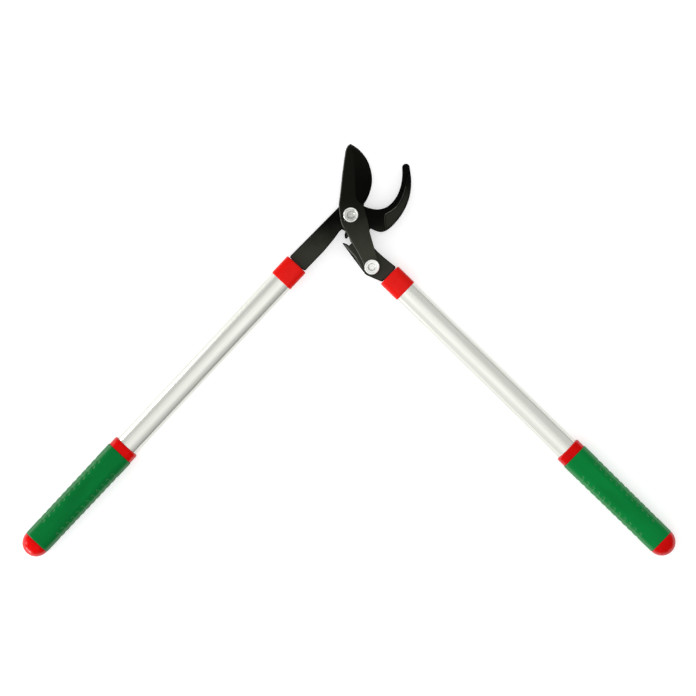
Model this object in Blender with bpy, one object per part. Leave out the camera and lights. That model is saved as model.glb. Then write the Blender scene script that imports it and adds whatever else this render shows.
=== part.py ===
"""A geared bypass lopper, lying open and flat, built from its separate pieces.

Metres, +Z up. The origin is the main pivot's axis at the plane the tool rests on. +Y points from
the main pivot along the blade, and +X points towards the hook. The hook plate, with the left
handle, carries a small gear sector round the main pivot. The lever plate, with the right handle,
carries a larger sector round the link pivot, and the two mesh. The blade's arm joins both pivots,
so closing the handles rolls the large sector round the small one and drives the blade.
"""

import math

import bmesh
import bpy
from mathutils import Vector

# Clearances
TOUCH_GAP = 0.0003
HOLE_CLEARANCE = 0.0003

# Gears: the hook plate's sector is the small wheel and the lever's is the large one
PIVOT_SPACING = 0.073
LINK_ANGLE = math.radians(292.1)
HOOK_GEAR_TEETH = 16
LEVER_GEAR_TEETH = 26
TEETH_CUT = 3
PRESSURE_ANGLE = math.radians(20.0)
GEAR_BACKLASH = 0.0005

# Forged plates
PLATE_THICKNESS = 0.007
PLATE_CHAMFER = 0.0004
HUB_RADIUS = 0.0185
HOOK_REACH = 0.0787
HOOK_RISE = 0.0665
HOOK_TIP_RADIUS = 0.005
HOOK_RIM_HEIGHT = 0.0025
HOOK_RIM_SLOPE = 0.0014
HOOK_RIM_INSET = 0.0006
FINGER_RELIEF = 0.0015
FINGER_SETBACK = math.radians(1.4)
FINGER_REACH = 0.0006
FINGER_RELIEF_SHARES = (-0.90, -0.32)  # of the tooth pitch, before the first tooth
STOP_FACE_SHARES = (0.50, 0.75)  # of the tooth pitch, past the last tooth: its foot and its top
LEVER_ROOT_SHARE = -0.36  # of the tooth pitch, before the first tooth
NECK_WIDTH = 0.0270
NECK_CORNER = 0.0016
LEVER_HUB_RADIUS = 0.0125
LEVER_HEEL_RADIUS = 0.0203

# Blade and its arm
BLADE_LENGTH = 0.0922
BLADE_BELLY = 0.0277
BLADE_THICKNESS = 0.0045
BLADE_EDGE_THICKNESS = 0.0005
ARM_HEAD_WIDTH = 0.0346
ARM_END_RADIUS = 0.011

# Pivot bolts, washers and lock nuts
BOLT_DIAMETER = 0.010
BOLT_HEAD_DIAMETER = 0.020
BOLT_HEAD_HEIGHT = 0.0044
BOLT_HEAD_ROUND = 0.0008
BOLT_HEAD_RIM = 0.0017
BOLT_HEAD_DISH = 0.0004
BOLT_SOCKET_WIDTH = 0.007
BOLT_SOCKET_DEPTH = 0.0022
BOLT_PROTRUSION = 0.0004
WASHER_DIAMETER = 0.020
WASHER_THICKNESS = 0.0015
NUT_ACROSS_FLATS = 0.017
NUT_HEIGHT = 0.008
NUT_RING_WIDTH = 0.0014
NUT_RING_HEIGHT = 0.002

# Handle tubes, and how the plates are held in them
TUBE_WIDTH = 0.030
TUBE_HEIGHT = 0.020
TUBE_WALL = 0.0015
TUBE_ROUNDNESS = 2.2
TUBE_SHOWN_LENGTH = 0.293
TANG_LENGTH = 0.042
INSERT_SIDE_WALL = 0.0032
INSERT_END_WALL = 0.005
TANG_PIN_DIAMETER = 0.005
TANG_PIN_OFFSET = 0.008
TANG_PIN_SPACING = 0.012
TANG_PIN_RECESS = 0.0002

# Collars
COLLAR_LENGTH = 0.030
COLLAR_WALL = 0.0010
COLLAR_END_WALL = 0.003
COLLAR_ROUNDNESS = 3.2
COLLAR_BEVEL = 0.0010

# Grips: a hard core with a ring and a domed end, and a soft ribbed sleeve between the two
GRIP_CORE_WALL = 0.0015
GRIP_SLEEVE_SIDE = 0.00205
GRIP_SLEEVE_FACE = 0.0019
GRIP_ROUNDNESS = 2.6
GRIP_FLAT_CUT = 0.0005
GRIP_TAPER = 0.0007
GRIP_RING_LENGTH = 0.0133
GRIP_RING_STEP = 0.0008
GRIP_RING_SCOOP = 0.0015
GRIP_SLEEVE_LENGTH = 0.1586
GRIP_DOME_LENGTH = 0.0192
RIB_COUNT = 12
RIB_PITCH = 0.0095
RIB_GROOVE_WIDTH = 0.0050
RIB_GROOVE_DEPTH = 0.0009
RIB_PANEL_HALF_WIDTH = 0.0106

# Handle axes: direction, how far outside its pivot each runs, and where its collar starts
LEFT_ANGLE = math.radians(226.9)
LEFT_OFFSET = 0.0075
LEFT_COLLAR_START = 0.0946
RIGHT_ANGLE = math.radians(315.6)
RIGHT_OFFSET = 0.00845
RIGHT_COLLAR_START = 0.0233

# Curves, as shares of two of the sizes above
HOOK_OUTER_CURVE = (  # of HOOK_REACH and HOOK_RISE, heel to tip
    (0.420, -0.313), (0.508, -0.333), (0.619, -0.281), (0.784, -0.086), (0.908, 0.149),
    (0.977, 0.383), (1.0, 0.657), (0.975, 0.929),
)
HOOK_INNER_CURVE = (  # of HOOK_REACH and HOOK_RISE, tip to hub
    (0.848, 0.929), (0.850, 0.774), (0.822, 0.555), (0.756, 0.362), (0.657, 0.214),
    (0.558, 0.138), (0.426, 0.111), (0.280, 0.146),
)
HOOK_RIDGE_CURVE = (  # of HOOK_REACH and HOOK_RISE, heel to tip
    (0.560, -0.200), (0.560, 0.010), (0.645, 0.075), (0.752, 0.175), (0.838, 0.340),
    (0.898, 0.560), (0.930, 0.800),
)
HOOK_INNER_END = math.radians(50.0)
TANG_INNER_EDGE = (  # of LEFT_COLLAR_START and NECK_WIDTH, collar to gear
    (0.616, -0.520), (0.406, -0.478), (0.271, -0.419),
)
LEVER_HEEL_CURVE = (  # of LEVER_HEEL_RADIUS, with each one's direction, neck to gear
    (1.000, math.radians(37)), (0.990, math.radians(56)), (1.100, math.radians(74)),
    (1.360, math.radians(87)),
)
BLADE_BACK_CURVE = (  # of BLADE_BELLY and BLADE_LENGTH, tip to heel
    (-0.03, 1.0), (-0.140, 0.975), (-0.232, 0.920), (-0.296, 0.812), (-0.408, 0.559),
    (-0.509, 0.277), (-0.566, 0.130),
)
BLADE_EDGE_CURVE = (  # of BLADE_BELLY and BLADE_LENGTH, heel to tip
    (0.628, 0.158), (0.758, 0.220), (0.913, 0.333), (0.993, 0.446), (0.989, 0.559),
    (0.906, 0.673), (0.755, 0.784), (0.469, 0.897), (0.253, 0.953), (0.030, 0.997),
)
BLADE_GRIND_CURVE = (  # of BLADE_BELLY and BLADE_LENGTH, heel to tip
    (0.614, 0.136), (0.390, 0.178), (0.253, 0.240), (0.210, 0.370), (0.175, 0.600),
    (0.120, 0.820), (-0.03, 1.0),
)
ARM_LEFT_CURVE = (  # of PIVOT_SPACING and ARM_HEAD_WIDTH, main pivot to link pivot
    (-0.068, -0.393), (0.033, -0.439), (0.118, -0.451), (0.222, -0.413), (0.437, -0.364),
    (0.692, -0.289),
)
ARM_RIGHT_CURVE = (  # of PIVOT_SPACING and ARM_HEAD_WIDTH, link pivot to main pivot
    (0.910, 0.301), (0.690, 0.355), (0.542, 0.387), (0.397, 0.425), (0.230, 0.506),
    (0.032, 0.549),
)
ARM_END_START = math.radians(-127)
ARM_END_STOP = math.radians(95)

# Facets on round work
ROUND_SEGMENTS = 32
OVAL_SEGMENTS = 28
SPLINE_STEPS = 3
FLANK_STEPS = 4
DOME_STEPS = 6

# Heights, worked out from the grips that the tool rests on
GRIP_HALF_HEIGHT = TUBE_HEIGHT / 2 + TOUCH_GAP + GRIP_CORE_WALL + TOUCH_GAP + GRIP_SLEEVE_FACE
HANDLE_Z = GRIP_HALF_HEIGHT
PLATE_BOTTOM = HANDLE_Z - PLATE_THICKNESS / 2
PLATE_TOP = HANDLE_Z + PLATE_THICKNESS / 2
BLADE_BOTTOM = PLATE_TOP + TOUCH_GAP
BLADE_TOP = BLADE_BOTTOM + BLADE_THICKNESS
HEAD_BOTTOM = BLADE_TOP + TOUCH_GAP
HEAD_TOP = HEAD_BOTTOM + BOLT_HEAD_HEIGHT
WASHER_TOP = PLATE_BOTTOM - TOUCH_GAP
WASHER_BOTTOM = WASHER_TOP - WASHER_THICKNESS
NUT_TOP = WASHER_BOTTOM - TOUCH_GAP
NUT_BOTTOM = NUT_TOP - NUT_HEIGHT
BOLT_END = NUT_BOTTOM - BOLT_PROTRUSION

# Sizes that follow from the driving ones
MODULE = 2 * PIVOT_SPACING / (HOOK_GEAR_TEETH + LEVER_GEAR_TEETH)
BOLT_RADIUS = BOLT_DIAMETER / 2
HOLE_RADIUS = BOLT_RADIUS + HOLE_CLEARANCE
TANG_WIDTH = TUBE_WIDTH - 2 * (TUBE_WALL + TOUCH_GAP + INSERT_SIDE_WALL + TOUCH_GAP)
TUBE_START = COLLAR_END_WALL + TOUCH_GAP
RING_START = COLLAR_LENGTH + TUBE_SHOWN_LENGTH
SLEEVE_START = RING_START + GRIP_RING_LENGTH
DOME_START = SLEEVE_START + GRIP_SLEEVE_LENGTH
TUBE_HALF = Vector((TUBE_WIDTH / 2, TUBE_HEIGHT / 2))
TUBE_BORE_HALF = TUBE_HALF - Vector((TUBE_WALL, TUBE_WALL))
TUBE_CLEAR_HALF = TUBE_HALF + Vector((TOUCH_GAP, TOUCH_GAP))
CORE_HALF = TUBE_CLEAR_HALF + Vector((GRIP_CORE_WALL, GRIP_CORE_WALL))
CORE_CLEAR_HALF = CORE_HALF + Vector((TOUCH_GAP, TOUCH_GAP))
SLEEVE_HALF = CORE_CLEAR_HALF + Vector((GRIP_SLEEVE_SIDE, GRIP_SLEEVE_FACE))
MAIN_PIVOT = Vector((0.0, 0.0))

# Colours: base colour, roughness and metallic value
BLACK_STEEL = ((0.018, 0.018, 0.016, 1.0), 0.38, 0.6)
BRIGHT_STEEL = ((0.62, 0.63, 0.62, 1.0), 0.3, 1.0)
SATIN_ALUMINIUM = ((0.78, 0.78, 0.75, 1.0), 0.35, 1.0)
RED_PLASTIC = ((0.75, 0.012, 0.006, 1.0), 0.3, 0.0)
GREEN_RUBBER = ((0.003, 0.16, 0.035, 1.0), 0.5, 0.0)
GREY_NYLON = ((0.35, 0.36, 0.38, 1.0), 0.5, 0.0)


def polar(radius, angle):
    """A point at this distance and direction from the origin."""
    return Vector((radius * math.cos(angle), radius * math.sin(angle)))


LINK_PIVOT = polar(PIVOT_SPACING, LINK_ANGLE)


def arc(centre, radius, start, end, steps):
    """Points on an arc, both ends included."""
    return [centre + polar(radius, start + (end - start) * i / steps) for i in range(steps + 1)]


def spline(points, steps=SPLINE_STEPS):
    """A smooth curve through the points, both ends included."""
    padded = [2 * points[0] - points[1]] + points + [2 * points[-1] - points[-2]]
    curve = []
    for a, b, c, d in zip(padded, padded[1:], padded[2:], padded[3:]):
        tb = math.sqrt((b - a).length)
        tc = tb + math.sqrt((c - b).length)
        td = tc + math.sqrt((d - c).length)
        for i in range(steps):
            t = tb + (tc - tb) * i / steps
            ab = a.lerp(b, t / tb)
            bc = b.lerp(c, (t - tb) / (tc - tb))
            cd = c.lerp(d, (t - tc) / (td - tc))
            abc = ab.lerp(bc, t / tc)
            bcd = bc.lerp(cd, (t - tb) / (td - tb))
            curve.append(abc.lerp(bcd, (t - tb) / (tc - tb)))
    return curve + [points[-1]]


def scaled(shares, width, length):
    """Curve points from their shares of a width and a length."""
    return [Vector((x * width, y * length)) for x, y in shares]


def resampled(curve, count):
    """The curve as this many points, evenly spaced along it."""
    lengths = [(b - a).length for a, b in zip(curve, curve[1:])]
    step = sum(lengths) / (count - 1)
    points = [curve[0]]
    index = 0
    passed = 0.0
    for i in range(1, count - 1):
        while passed + lengths[index] < i * step:
            passed += lengths[index]
            index += 1
        points.append(curve[index].lerp(curve[index + 1], (i * step - passed) / lengths[index]))
    return points + [curve[-1]]


def tangent_angle(point, radius, side):
    """Direction in which a line from the point touches the circle round the origin."""
    return math.atan2(point.y, point.x) + side * math.acos(radius / point.length)


def inset(outline, distances):
    """A counter-clockwise outline with each point moved inwards by its own distance."""
    moved = []
    neighbours = zip(outline[-1:] + outline[:-1], outline, outline[1:] + outline[:1], distances)
    for before, here, after, distance in neighbours:
        first = (here - before).normalized()
        second = (after - here).normalized()
        normal = Vector((-first.y - second.y, first.x + second.x)).normalized()
        slant = max(0.6, normal.dot(Vector((-first.y, first.x))))
        moved.append(here + normal * (distance / slant))
    return moved


def involute(angle):
    """The involute function."""
    return math.tan(angle) - angle


def root_radius(teeth):
    """Radius of the bottom of a wheel's tooth spaces."""
    return MODULE * (teeth / 2 - 1.25)


def tip_radius(teeth):
    """Radius over a wheel's teeth."""
    return MODULE * (teeth / 2 + 1)


def tooth(teeth, centre, setback=0.0):
    """One tooth about the wheel's centre, counter-clockwise, its first flank cut by the setback."""
    pitch_radius = MODULE * teeth / 2
    base_radius = pitch_radius * math.cos(PRESSURE_ANGLE)
    half_pitch = (math.pi * MODULE / 2 - GEAR_BACKLASH / 2) / (2 * pitch_radius)
    half_base = half_pitch + involute(PRESSURE_ANGLE)
    flank = [(root_radius(teeth), half_base)]
    for i in range(FLANK_STEPS + 1):
        radius = base_radius + (tip_radius(teeth) - base_radius) * i / FLANK_STEPS
        flank.append((radius, half_base - involute(math.acos(min(1.0, base_radius / radius)))))
    first = [polar(radius, centre + setback - half) for radius, half in flank]
    second = [polar(radius, centre + half) for radius, half in reversed(flank)]
    return first + second


def gear_run(teeth, first):
    """The sector's teeth in a row, counter-clockwise, with the root between them."""
    pitch = 2 * math.pi / teeth
    outline = tooth(teeth, first)
    for i in range(1, TEETH_CUT):
        outline.append(polar(root_radius(teeth), first + (i - 0.5) * pitch))
        outline.extend(tooth(teeth, first + i * pitch))
    return outline


class HandleAxis:
    """A handle's centre line, with the places along and across it."""

    def __init__(self, angle, offset, side):
        self.angle = angle
        self.along = polar(1.0, angle)
        self.outward = polar(side, angle + math.pi / 2)
        self.foot = self.outward * offset

    def at(self, distance, out):
        """The point this far along the axis and this far outwards from it, about the pivot."""
        return self.foot + self.along * distance + self.outward * out


LEFT_AXIS = HandleAxis(LEFT_ANGLE, LEFT_OFFSET, -1)
RIGHT_AXIS = HandleAxis(RIGHT_ANGLE, RIGHT_OFFSET, 1)


def tang_outline(axis, collar_start):
    """The neck's end and the narrow tang inside the tube, from the inner side to the outer one."""
    shoulder = collar_start - TOUCH_GAP
    end = collar_start + TUBE_START + TANG_LENGTH
    neck = NECK_WIDTH / 2
    half = TANG_WIDTH / 2
    inner = [
        axis.at(shoulder - NECK_CORNER, -neck),
        axis.at(shoulder, NECK_CORNER - neck),
        axis.at(shoulder, -half),
        axis.at(end - NECK_CORNER, -half),
        axis.at(end, NECK_CORNER - half),
    ]
    outer = [
        axis.at(end, half - NECK_CORNER),
        axis.at(end - NECK_CORNER, half),
        axis.at(shoulder, half),
        axis.at(shoulder, neck - NECK_CORNER),
        axis.at(shoulder - NECK_CORNER, neck),
    ]
    return inner + outer


def hook_heel():
    """The hook's outer edge, from the gear sector's far side to the tip."""
    pitch = 2 * math.pi / HOOK_GEAR_TEETH
    start = polar(tip_radius(HOOK_GEAR_TEETH), LINK_ANGLE + 1.5 * pitch)
    return spline([start] + scaled(HOOK_OUTER_CURVE, HOOK_REACH, HOOK_RISE))


def hook_plate_outline():
    """Tang, small gear sector, hook and hub, counter-clockwise about the main pivot."""
    pitch = 2 * math.pi / HOOK_GEAR_TEETH
    root = root_radius(HOOK_GEAR_TEETH)
    first_tooth = LINK_ANGLE - 1.5 * pitch
    last_tooth = first_tooth + (TEETH_CUT - 1) * pitch
    tang = list(reversed(tang_outline(LEFT_AXIS, LEFT_COLLAR_START)))
    hub_end = tangent_angle(tang[0], HUB_RADIUS, -1) % (2 * math.pi)
    inner_edge = [LEFT_AXIS.at(x * LEFT_COLLAR_START, y * NECK_WIDTH) for x, y in TANG_INNER_EDGE]
    relief = arc(MAIN_PIVOT, root - FINGER_RELIEF, first_tooth + FINGER_RELIEF_SHARES[0] * pitch,
                 first_tooth + FINGER_RELIEF_SHARES[1] * pitch, 3)
    stop_face = [
        polar(root, last_tooth + STOP_FACE_SHARES[0] * pitch),
        polar(tip_radius(HOOK_GEAR_TEETH), last_tooth + STOP_FACE_SHARES[1] * pitch),
    ]
    heel = hook_heel()
    tip_centre = heel[-1] - Vector((HOOK_TIP_RADIUS, 0.0))
    tip = arc(tip_centre, HOOK_TIP_RADIUS, 0.0, math.pi, 8)[1:-1]
    hub_start = polar(HUB_RADIUS, HOOK_INNER_END)
    inner = spline(scaled(HOOK_INNER_CURVE, HOOK_REACH, HOOK_RISE) + [hub_start])
    hub = arc(MAIN_PIVOT, HUB_RADIUS, HOOK_INNER_END, hub_end, 8)[1:]
    return (tang + inner_edge + relief + gear_run(HOOK_GEAR_TEETH, first_tooth) + stop_face
            + heel + tip + inner + hub)


def hook_rim_outline():
    """The foot of the hook's raised rim: how far each point slopes in, and the points."""
    ridge = spline(scaled(HOOK_RIDGE_CURVE, HOOK_REACH, HOOK_RISE))
    start_x = ridge[0].x + HOOK_RIM_SLOPE
    end_y = ridge[-1].y
    edge = hook_heel()
    kept = [(p, a, b) for a, p, b in zip(edge, edge[1:], edge[2:]) if p.x > start_x and p.y < end_y]
    outer = []
    for point, before, after in kept:
        run = (after - before).normalized()
        outer.append(point + Vector((-run.y, run.x)) * HOOK_RIM_INSET)
    slopes = [HOOK_RIM_INSET] * len(outer) + [HOOK_RIM_SLOPE] * len(ridge)
    return outer + list(reversed(ridge)), slopes


def lever_plate_outline():
    """Neck, heel, large gear sector, finger and hub, counter-clockwise about the link pivot."""
    pitch = 2 * math.pi / LEVER_GEAR_TEETH
    first_tooth = LINK_ANGLE - math.pi - pitch
    finger = first_tooth + TEETH_CUT * pitch
    root = root_radius(LEVER_GEAR_TEETH)
    tang = tang_outline(RIGHT_AXIS, RIGHT_COLLAR_START)
    heel_points = [tang[-1]]
    heel_points += [polar(share * LEVER_HEEL_RADIUS, angle) for share, angle in LEVER_HEEL_CURVE]
    heel_points += [polar(root, first_tooth + LEVER_ROOT_SHARE * pitch)]
    finger_flank = tooth(LEVER_GEAR_TEETH, finger, FINGER_SETBACK)[:FLANK_STEPS + 2]
    finger_tip = polar(tip_radius(LEVER_GEAR_TEETH) + FINGER_REACH, finger + FINGER_SETBACK)
    hub_start = tangent_angle(finger_tip, LEVER_HUB_RADIUS, 1)
    hub_end = tangent_angle(tang[0], LEVER_HUB_RADIUS, -1) % (2 * math.pi)
    space = polar(root, finger - 0.5 * pitch)
    return (tang + spline(heel_points)[1:-1] + gear_run(LEVER_GEAR_TEETH, first_tooth) + [space]
            + finger_flank + [finger_tip] + arc(MAIN_PIVOT, LEVER_HUB_RADIUS, hub_start, hub_end, 5))


def arm_point(along, out):
    """A point on the blade's arm, from its share of the pivot spacing and its distance aside."""
    return polar(along, LINK_ANGLE) + polar(out, LINK_ANGLE + math.pi / 2)


def blade_outline():
    """Blade back, arm and heel, counter-clockwise from the tip, and then the cutting edge."""
    back = scaled(BLADE_BACK_CURVE, BLADE_BELLY, BLADE_LENGTH)
    left = [arm_point(x * PIVOT_SPACING, y * ARM_HEAD_WIDTH) for x, y in ARM_LEFT_CURVE]
    right = [arm_point(x * PIVOT_SPACING, y * ARM_HEAD_WIDTH) for x, y in ARM_RIGHT_CURVE]
    end = arc(LINK_PIVOT, ARM_END_RADIUS, LINK_ANGLE + ARM_END_START, LINK_ANGLE + ARM_END_STOP, 14)
    heel = scaled(BLADE_GRIND_CURVE[:1], BLADE_BELLY, BLADE_LENGTH)
    body = spline(back + left + end[:1])[:-1] + end + spline(right + heel)
    edge = spline(scaled(BLADE_EDGE_CURVE, BLADE_BELLY, BLADE_LENGTH))
    return body, edge


def oval(half, roundness, segments=OVAL_SEGMENTS, flat=None):
    """A rounded section across a handle, cut flat above and below at the height given."""
    points = []
    for i in range(segments):
        angle = 2 * math.pi * i / segments
        c = math.cos(angle)
        s = math.sin(angle)
        y = math.copysign(half.x * abs(c) ** (2 / roundness), c)
        z = math.copysign(half.y * abs(s) ** (2 / roundness), s)
        if flat is not None:
            z = max(-flat, min(flat, z))
        points.append(Vector((y, z)))
    return points


def section(x, points):
    """A section placed across the handle at this distance."""
    return [Vector((x, p.x, p.y)) for p in points]


def level(points, z):
    """An outline placed at a height."""
    return [Vector((p.x, p.y, z)) for p in points]


def add_object(name, mesh, parent, location=(0.0, 0.0, 0.0), turn=0.0):
    """Put a mesh in the scene under a parent."""
    piece = bpy.data.objects.new(name, mesh)
    bpy.context.collection.objects.link(piece)
    piece.parent = parent
    piece.location = location
    piece.rotation_euler = (0.0, 0.0, turn)
    return piece


def skin(name, rings, closed=False):
    """A mesh over a row of rings, joined end to end if closed and capped if not."""
    bm = bmesh.new()
    rows = [[bm.verts.new(point) for point in ring] for ring in rings]
    pairs = list(zip(rows, rows[1:]))
    if closed:
        pairs.append((rows[-1], rows[0]))
    else:
        bm.faces.new(rows[0])
        bm.faces.new(rows[-1])
    for low, high in pairs:
        for i in range(len(low)):
            j = (i + 1) % len(low)
            bm.faces.new((low[i], low[j], high[j], high[i]))
    return finished_mesh(name, bm)


def finished_mesh(name, bm):
    """Turn a bmesh's faces outwards and make it a mesh, smooth on its round stretches."""
    bmesh.ops.recalc_face_normals(bm, faces=bm.faces)
    mesh = bpy.data.meshes.new(name)
    bm.to_mesh(mesh)
    bm.free()
    mesh.shade_smooth()
    mesh.set_sharp_from_angle(angle=math.radians(35))
    return mesh


def colour(piece, finish):
    """Give a piece its own material."""
    base, roughness, metallic = finish
    material = bpy.data.materials.new(piece.name)
    material.use_nodes = True
    shader = material.node_tree.nodes["Principled BSDF"]
    shader.inputs["Base Color"].default_value = base
    shader.inputs["Roughness"].default_value = roughness
    shader.inputs["Metallic"].default_value = metallic
    piece.data.materials.append(material)


def cut(piece, cutter, operation="DIFFERENCE"):
    """Cut a piece with another solid, or join the other solid to it."""
    modifier = piece.modifiers.new(cutter.name, "BOOLEAN")
    modifier.solver = "EXACT"
    modifier.operation = operation
    modifier.object = cutter
    cutter.display_type = "WIRE"
    cutter.hide_render = True


def empty(name, location, parent=None, turn=0.0):
    """An empty on a joint's axis or at a handle's foot."""
    frame = bpy.data.objects.new(name, None)
    bpy.context.collection.objects.link(frame)
    frame.parent = parent
    frame.location = location
    frame.rotation_euler = (0.0, 0.0, turn)
    return frame


def cylinder_rings(radius, bottom, top, segments=ROUND_SEGMENTS):
    """Two rings that make an upright cylinder."""
    circle = arc(MAIN_PIVOT, radius, 0.0, 2 * math.pi, segments)[:-1]
    return [level(circle, bottom), level(circle, top)]


def lathe_rings(profile, segments=ROUND_SEGMENTS):
    """Rings for a turned piece, from its radii and heights."""
    return [level(arc(MAIN_PIVOT, r, 0.0, 2 * math.pi, segments)[:-1], z) for r, z in profile]


def plate(name, outline, parent, pivots):
    """A forged plate with chamfered edges, its bolt holes cut."""
    small = inset(outline, [PLATE_CHAMFER] * len(outline))
    rings = [
        level(small, PLATE_BOTTOM),
        level(outline, PLATE_BOTTOM + PLATE_CHAMFER),
        level(outline, PLATE_TOP - PLATE_CHAMFER),
        level(small, PLATE_TOP),
    ]
    piece = add_object(name, skin(name, rings), parent)
    colour(piece, BLACK_STEEL)
    for pivot in pivots:
        drill(piece, pivot, HOLE_RADIUS, PLATE_BOTTOM, PLATE_TOP)
    return piece


def drill(piece, place, radius, bottom, top):
    """Cut an upright hole right through a piece."""
    over = PLATE_THICKNESS
    name = f"{piece.name}_hole_cutter"
    mesh = skin(name, cylinder_rings(radius, bottom - over, top + over))
    cut(piece, add_object(name, mesh, piece.parent, (place.x, place.y, 0.0)))


def build_hook_plate(parent):
    """The hook plate with its tang, gear sector and raised rim."""
    piece = plate("hook_plate", hook_plate_outline(), parent, [MAIN_PIVOT])
    foot, slopes = hook_rim_outline()
    rings = [
        level(foot, PLATE_TOP - HOOK_RIM_HEIGHT),
        level(foot, PLATE_TOP),
        level(inset(foot, slopes), PLATE_TOP + HOOK_RIM_HEIGHT),
    ]
    rim = add_object("hook_rim_form", skin("hook_rim_form", rings), parent)
    cut(piece, rim, "UNION")
    return piece


def build_blade(parent):
    """The blade and its arm in one forging, the blade ground to an edge on its upper face."""
    body, edge = blade_outline()
    grind = resampled(spline(scaled(BLADE_GRIND_CURVE, BLADE_BELLY, BLADE_LENGTH)), len(edge))
    bm = bmesh.new()
    outline = body + edge
    lower = [bm.verts.new(p) for p in level(outline, BLADE_BOTTOM)]
    upper = [bm.verts.new(p) for p in level(body, BLADE_TOP)]
    upper += [bm.verts.new(p) for p in level(edge, BLADE_BOTTOM + BLADE_EDGE_THICKNESS)]
    inner = [bm.verts.new(p) for p in level(grind[1:-1], BLADE_TOP)]
    ridge = [upper[len(body) - 1]] + inner + [upper[0]]
    sharp = upper[len(body):]
    bm.faces.new(lower)
    bm.faces.new(upper[:len(body)] + inner)
    for i in range(len(outline)):
        j = (i + 1) % len(outline)
        bm.faces.new((lower[i], lower[j], upper[j], upper[i]))
    for i in range(len(edge) - 1):
        bm.faces.new((ridge[i], sharp[i], sharp[i + 1], ridge[i + 1]))
    piece = add_object("blade", finished_mesh("blade", bm), parent)
    colour(piece, BLACK_STEEL)
    for pivot in (MAIN_PIVOT, LINK_PIVOT):
        drill(piece, pivot, HOLE_RADIUS, BLADE_BOTTOM, BLADE_TOP)
    return piece


def build_fastener(prefix, parent, place):
    """A pivot's bolt, washer, lock nut and the nut's locking ring."""
    location = (place.x, place.y, 0.0)
    head = BOLT_HEAD_DIAMETER / 2
    dish = head - BOLT_HEAD_RIM
    bolt_rings = lathe_rings([
        (BOLT_RADIUS - BOLT_PROTRUSION, BOLT_END),
        (BOLT_RADIUS, BOLT_END + BOLT_PROTRUSION),
        (BOLT_RADIUS, HEAD_BOTTOM),
        (head, HEAD_BOTTOM),
        (head, HEAD_TOP - BOLT_HEAD_ROUND),
        (head - BOLT_HEAD_ROUND, HEAD_TOP),
        (dish, HEAD_TOP),
        (dish - BOLT_HEAD_DISH, HEAD_TOP - BOLT_HEAD_DISH),
    ])
    bolt = add_object(f"{prefix}_bolt", skin(f"{prefix}_bolt", bolt_rings), parent, location)
    colour(bolt, BRIGHT_STEEL)
    socket_radius = BOLT_SOCKET_WIDTH / math.sqrt(3)
    socket_rings = cylinder_rings(socket_radius, HEAD_TOP - BOLT_SOCKET_DEPTH, HEAD_TOP + TOUCH_GAP, 6)
    name = f"{prefix}_socket_cutter"
    cut(bolt, add_object(name, skin(name, socket_rings), parent, location))

    washer_rings = lathe_rings([
        (WASHER_DIAMETER / 2, WASHER_BOTTOM),
        (WASHER_DIAMETER / 2, WASHER_TOP),
        (HOLE_RADIUS, WASHER_TOP),
        (HOLE_RADIUS, WASHER_BOTTOM),
    ])
    name = f"{prefix}_washer"
    colour(add_object(name, skin(name, washer_rings, closed=True), parent, location), BRIGHT_STEEL)

    corner = NUT_ACROSS_FLATS / math.sqrt(3)
    nut_rings = cylinder_rings(corner, NUT_BOTTOM, NUT_TOP, 6)
    name = f"{prefix}_nut"
    nut = add_object(name, skin(name, nut_rings), parent, location)
    colour(nut, BRIGHT_STEEL)
    ring_outer = HOLE_RADIUS + NUT_RING_WIDTH
    seat_top = NUT_BOTTOM + NUT_RING_HEIGHT + TOUCH_GAP
    bore_rings = lathe_rings([
        (ring_outer + TOUCH_GAP, NUT_BOTTOM - TOUCH_GAP),
        (ring_outer + TOUCH_GAP, seat_top),
        (HOLE_RADIUS, seat_top),
        (HOLE_RADIUS, NUT_TOP + TOUCH_GAP),
    ])
    name = f"{prefix}_nut_bore_cutter"
    cut(nut, add_object(name, skin(name, bore_rings), parent, location))

    ring_rings = lathe_rings([
        (ring_outer, NUT_BOTTOM),
        (ring_outer, NUT_BOTTOM + NUT_RING_HEIGHT),
        (HOLE_RADIUS, NUT_BOTTOM + NUT_RING_HEIGHT),
        (HOLE_RADIUS, NUT_BOTTOM),
    ])
    name = f"{prefix}_nut_ring"
    colour(add_object(name, skin(name, ring_rings, closed=True), parent, location), GREY_NYLON)


def box_rings(start, end, half):
    """Two rings that make a box along the handle."""
    corners = [
        Vector((half.x, half.y)),
        Vector((-half.x, half.y)),
        Vector((-half.x, -half.y)),
        Vector((half.x, -half.y)),
    ]
    return [section(start, corners), section(end, corners)]


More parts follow.
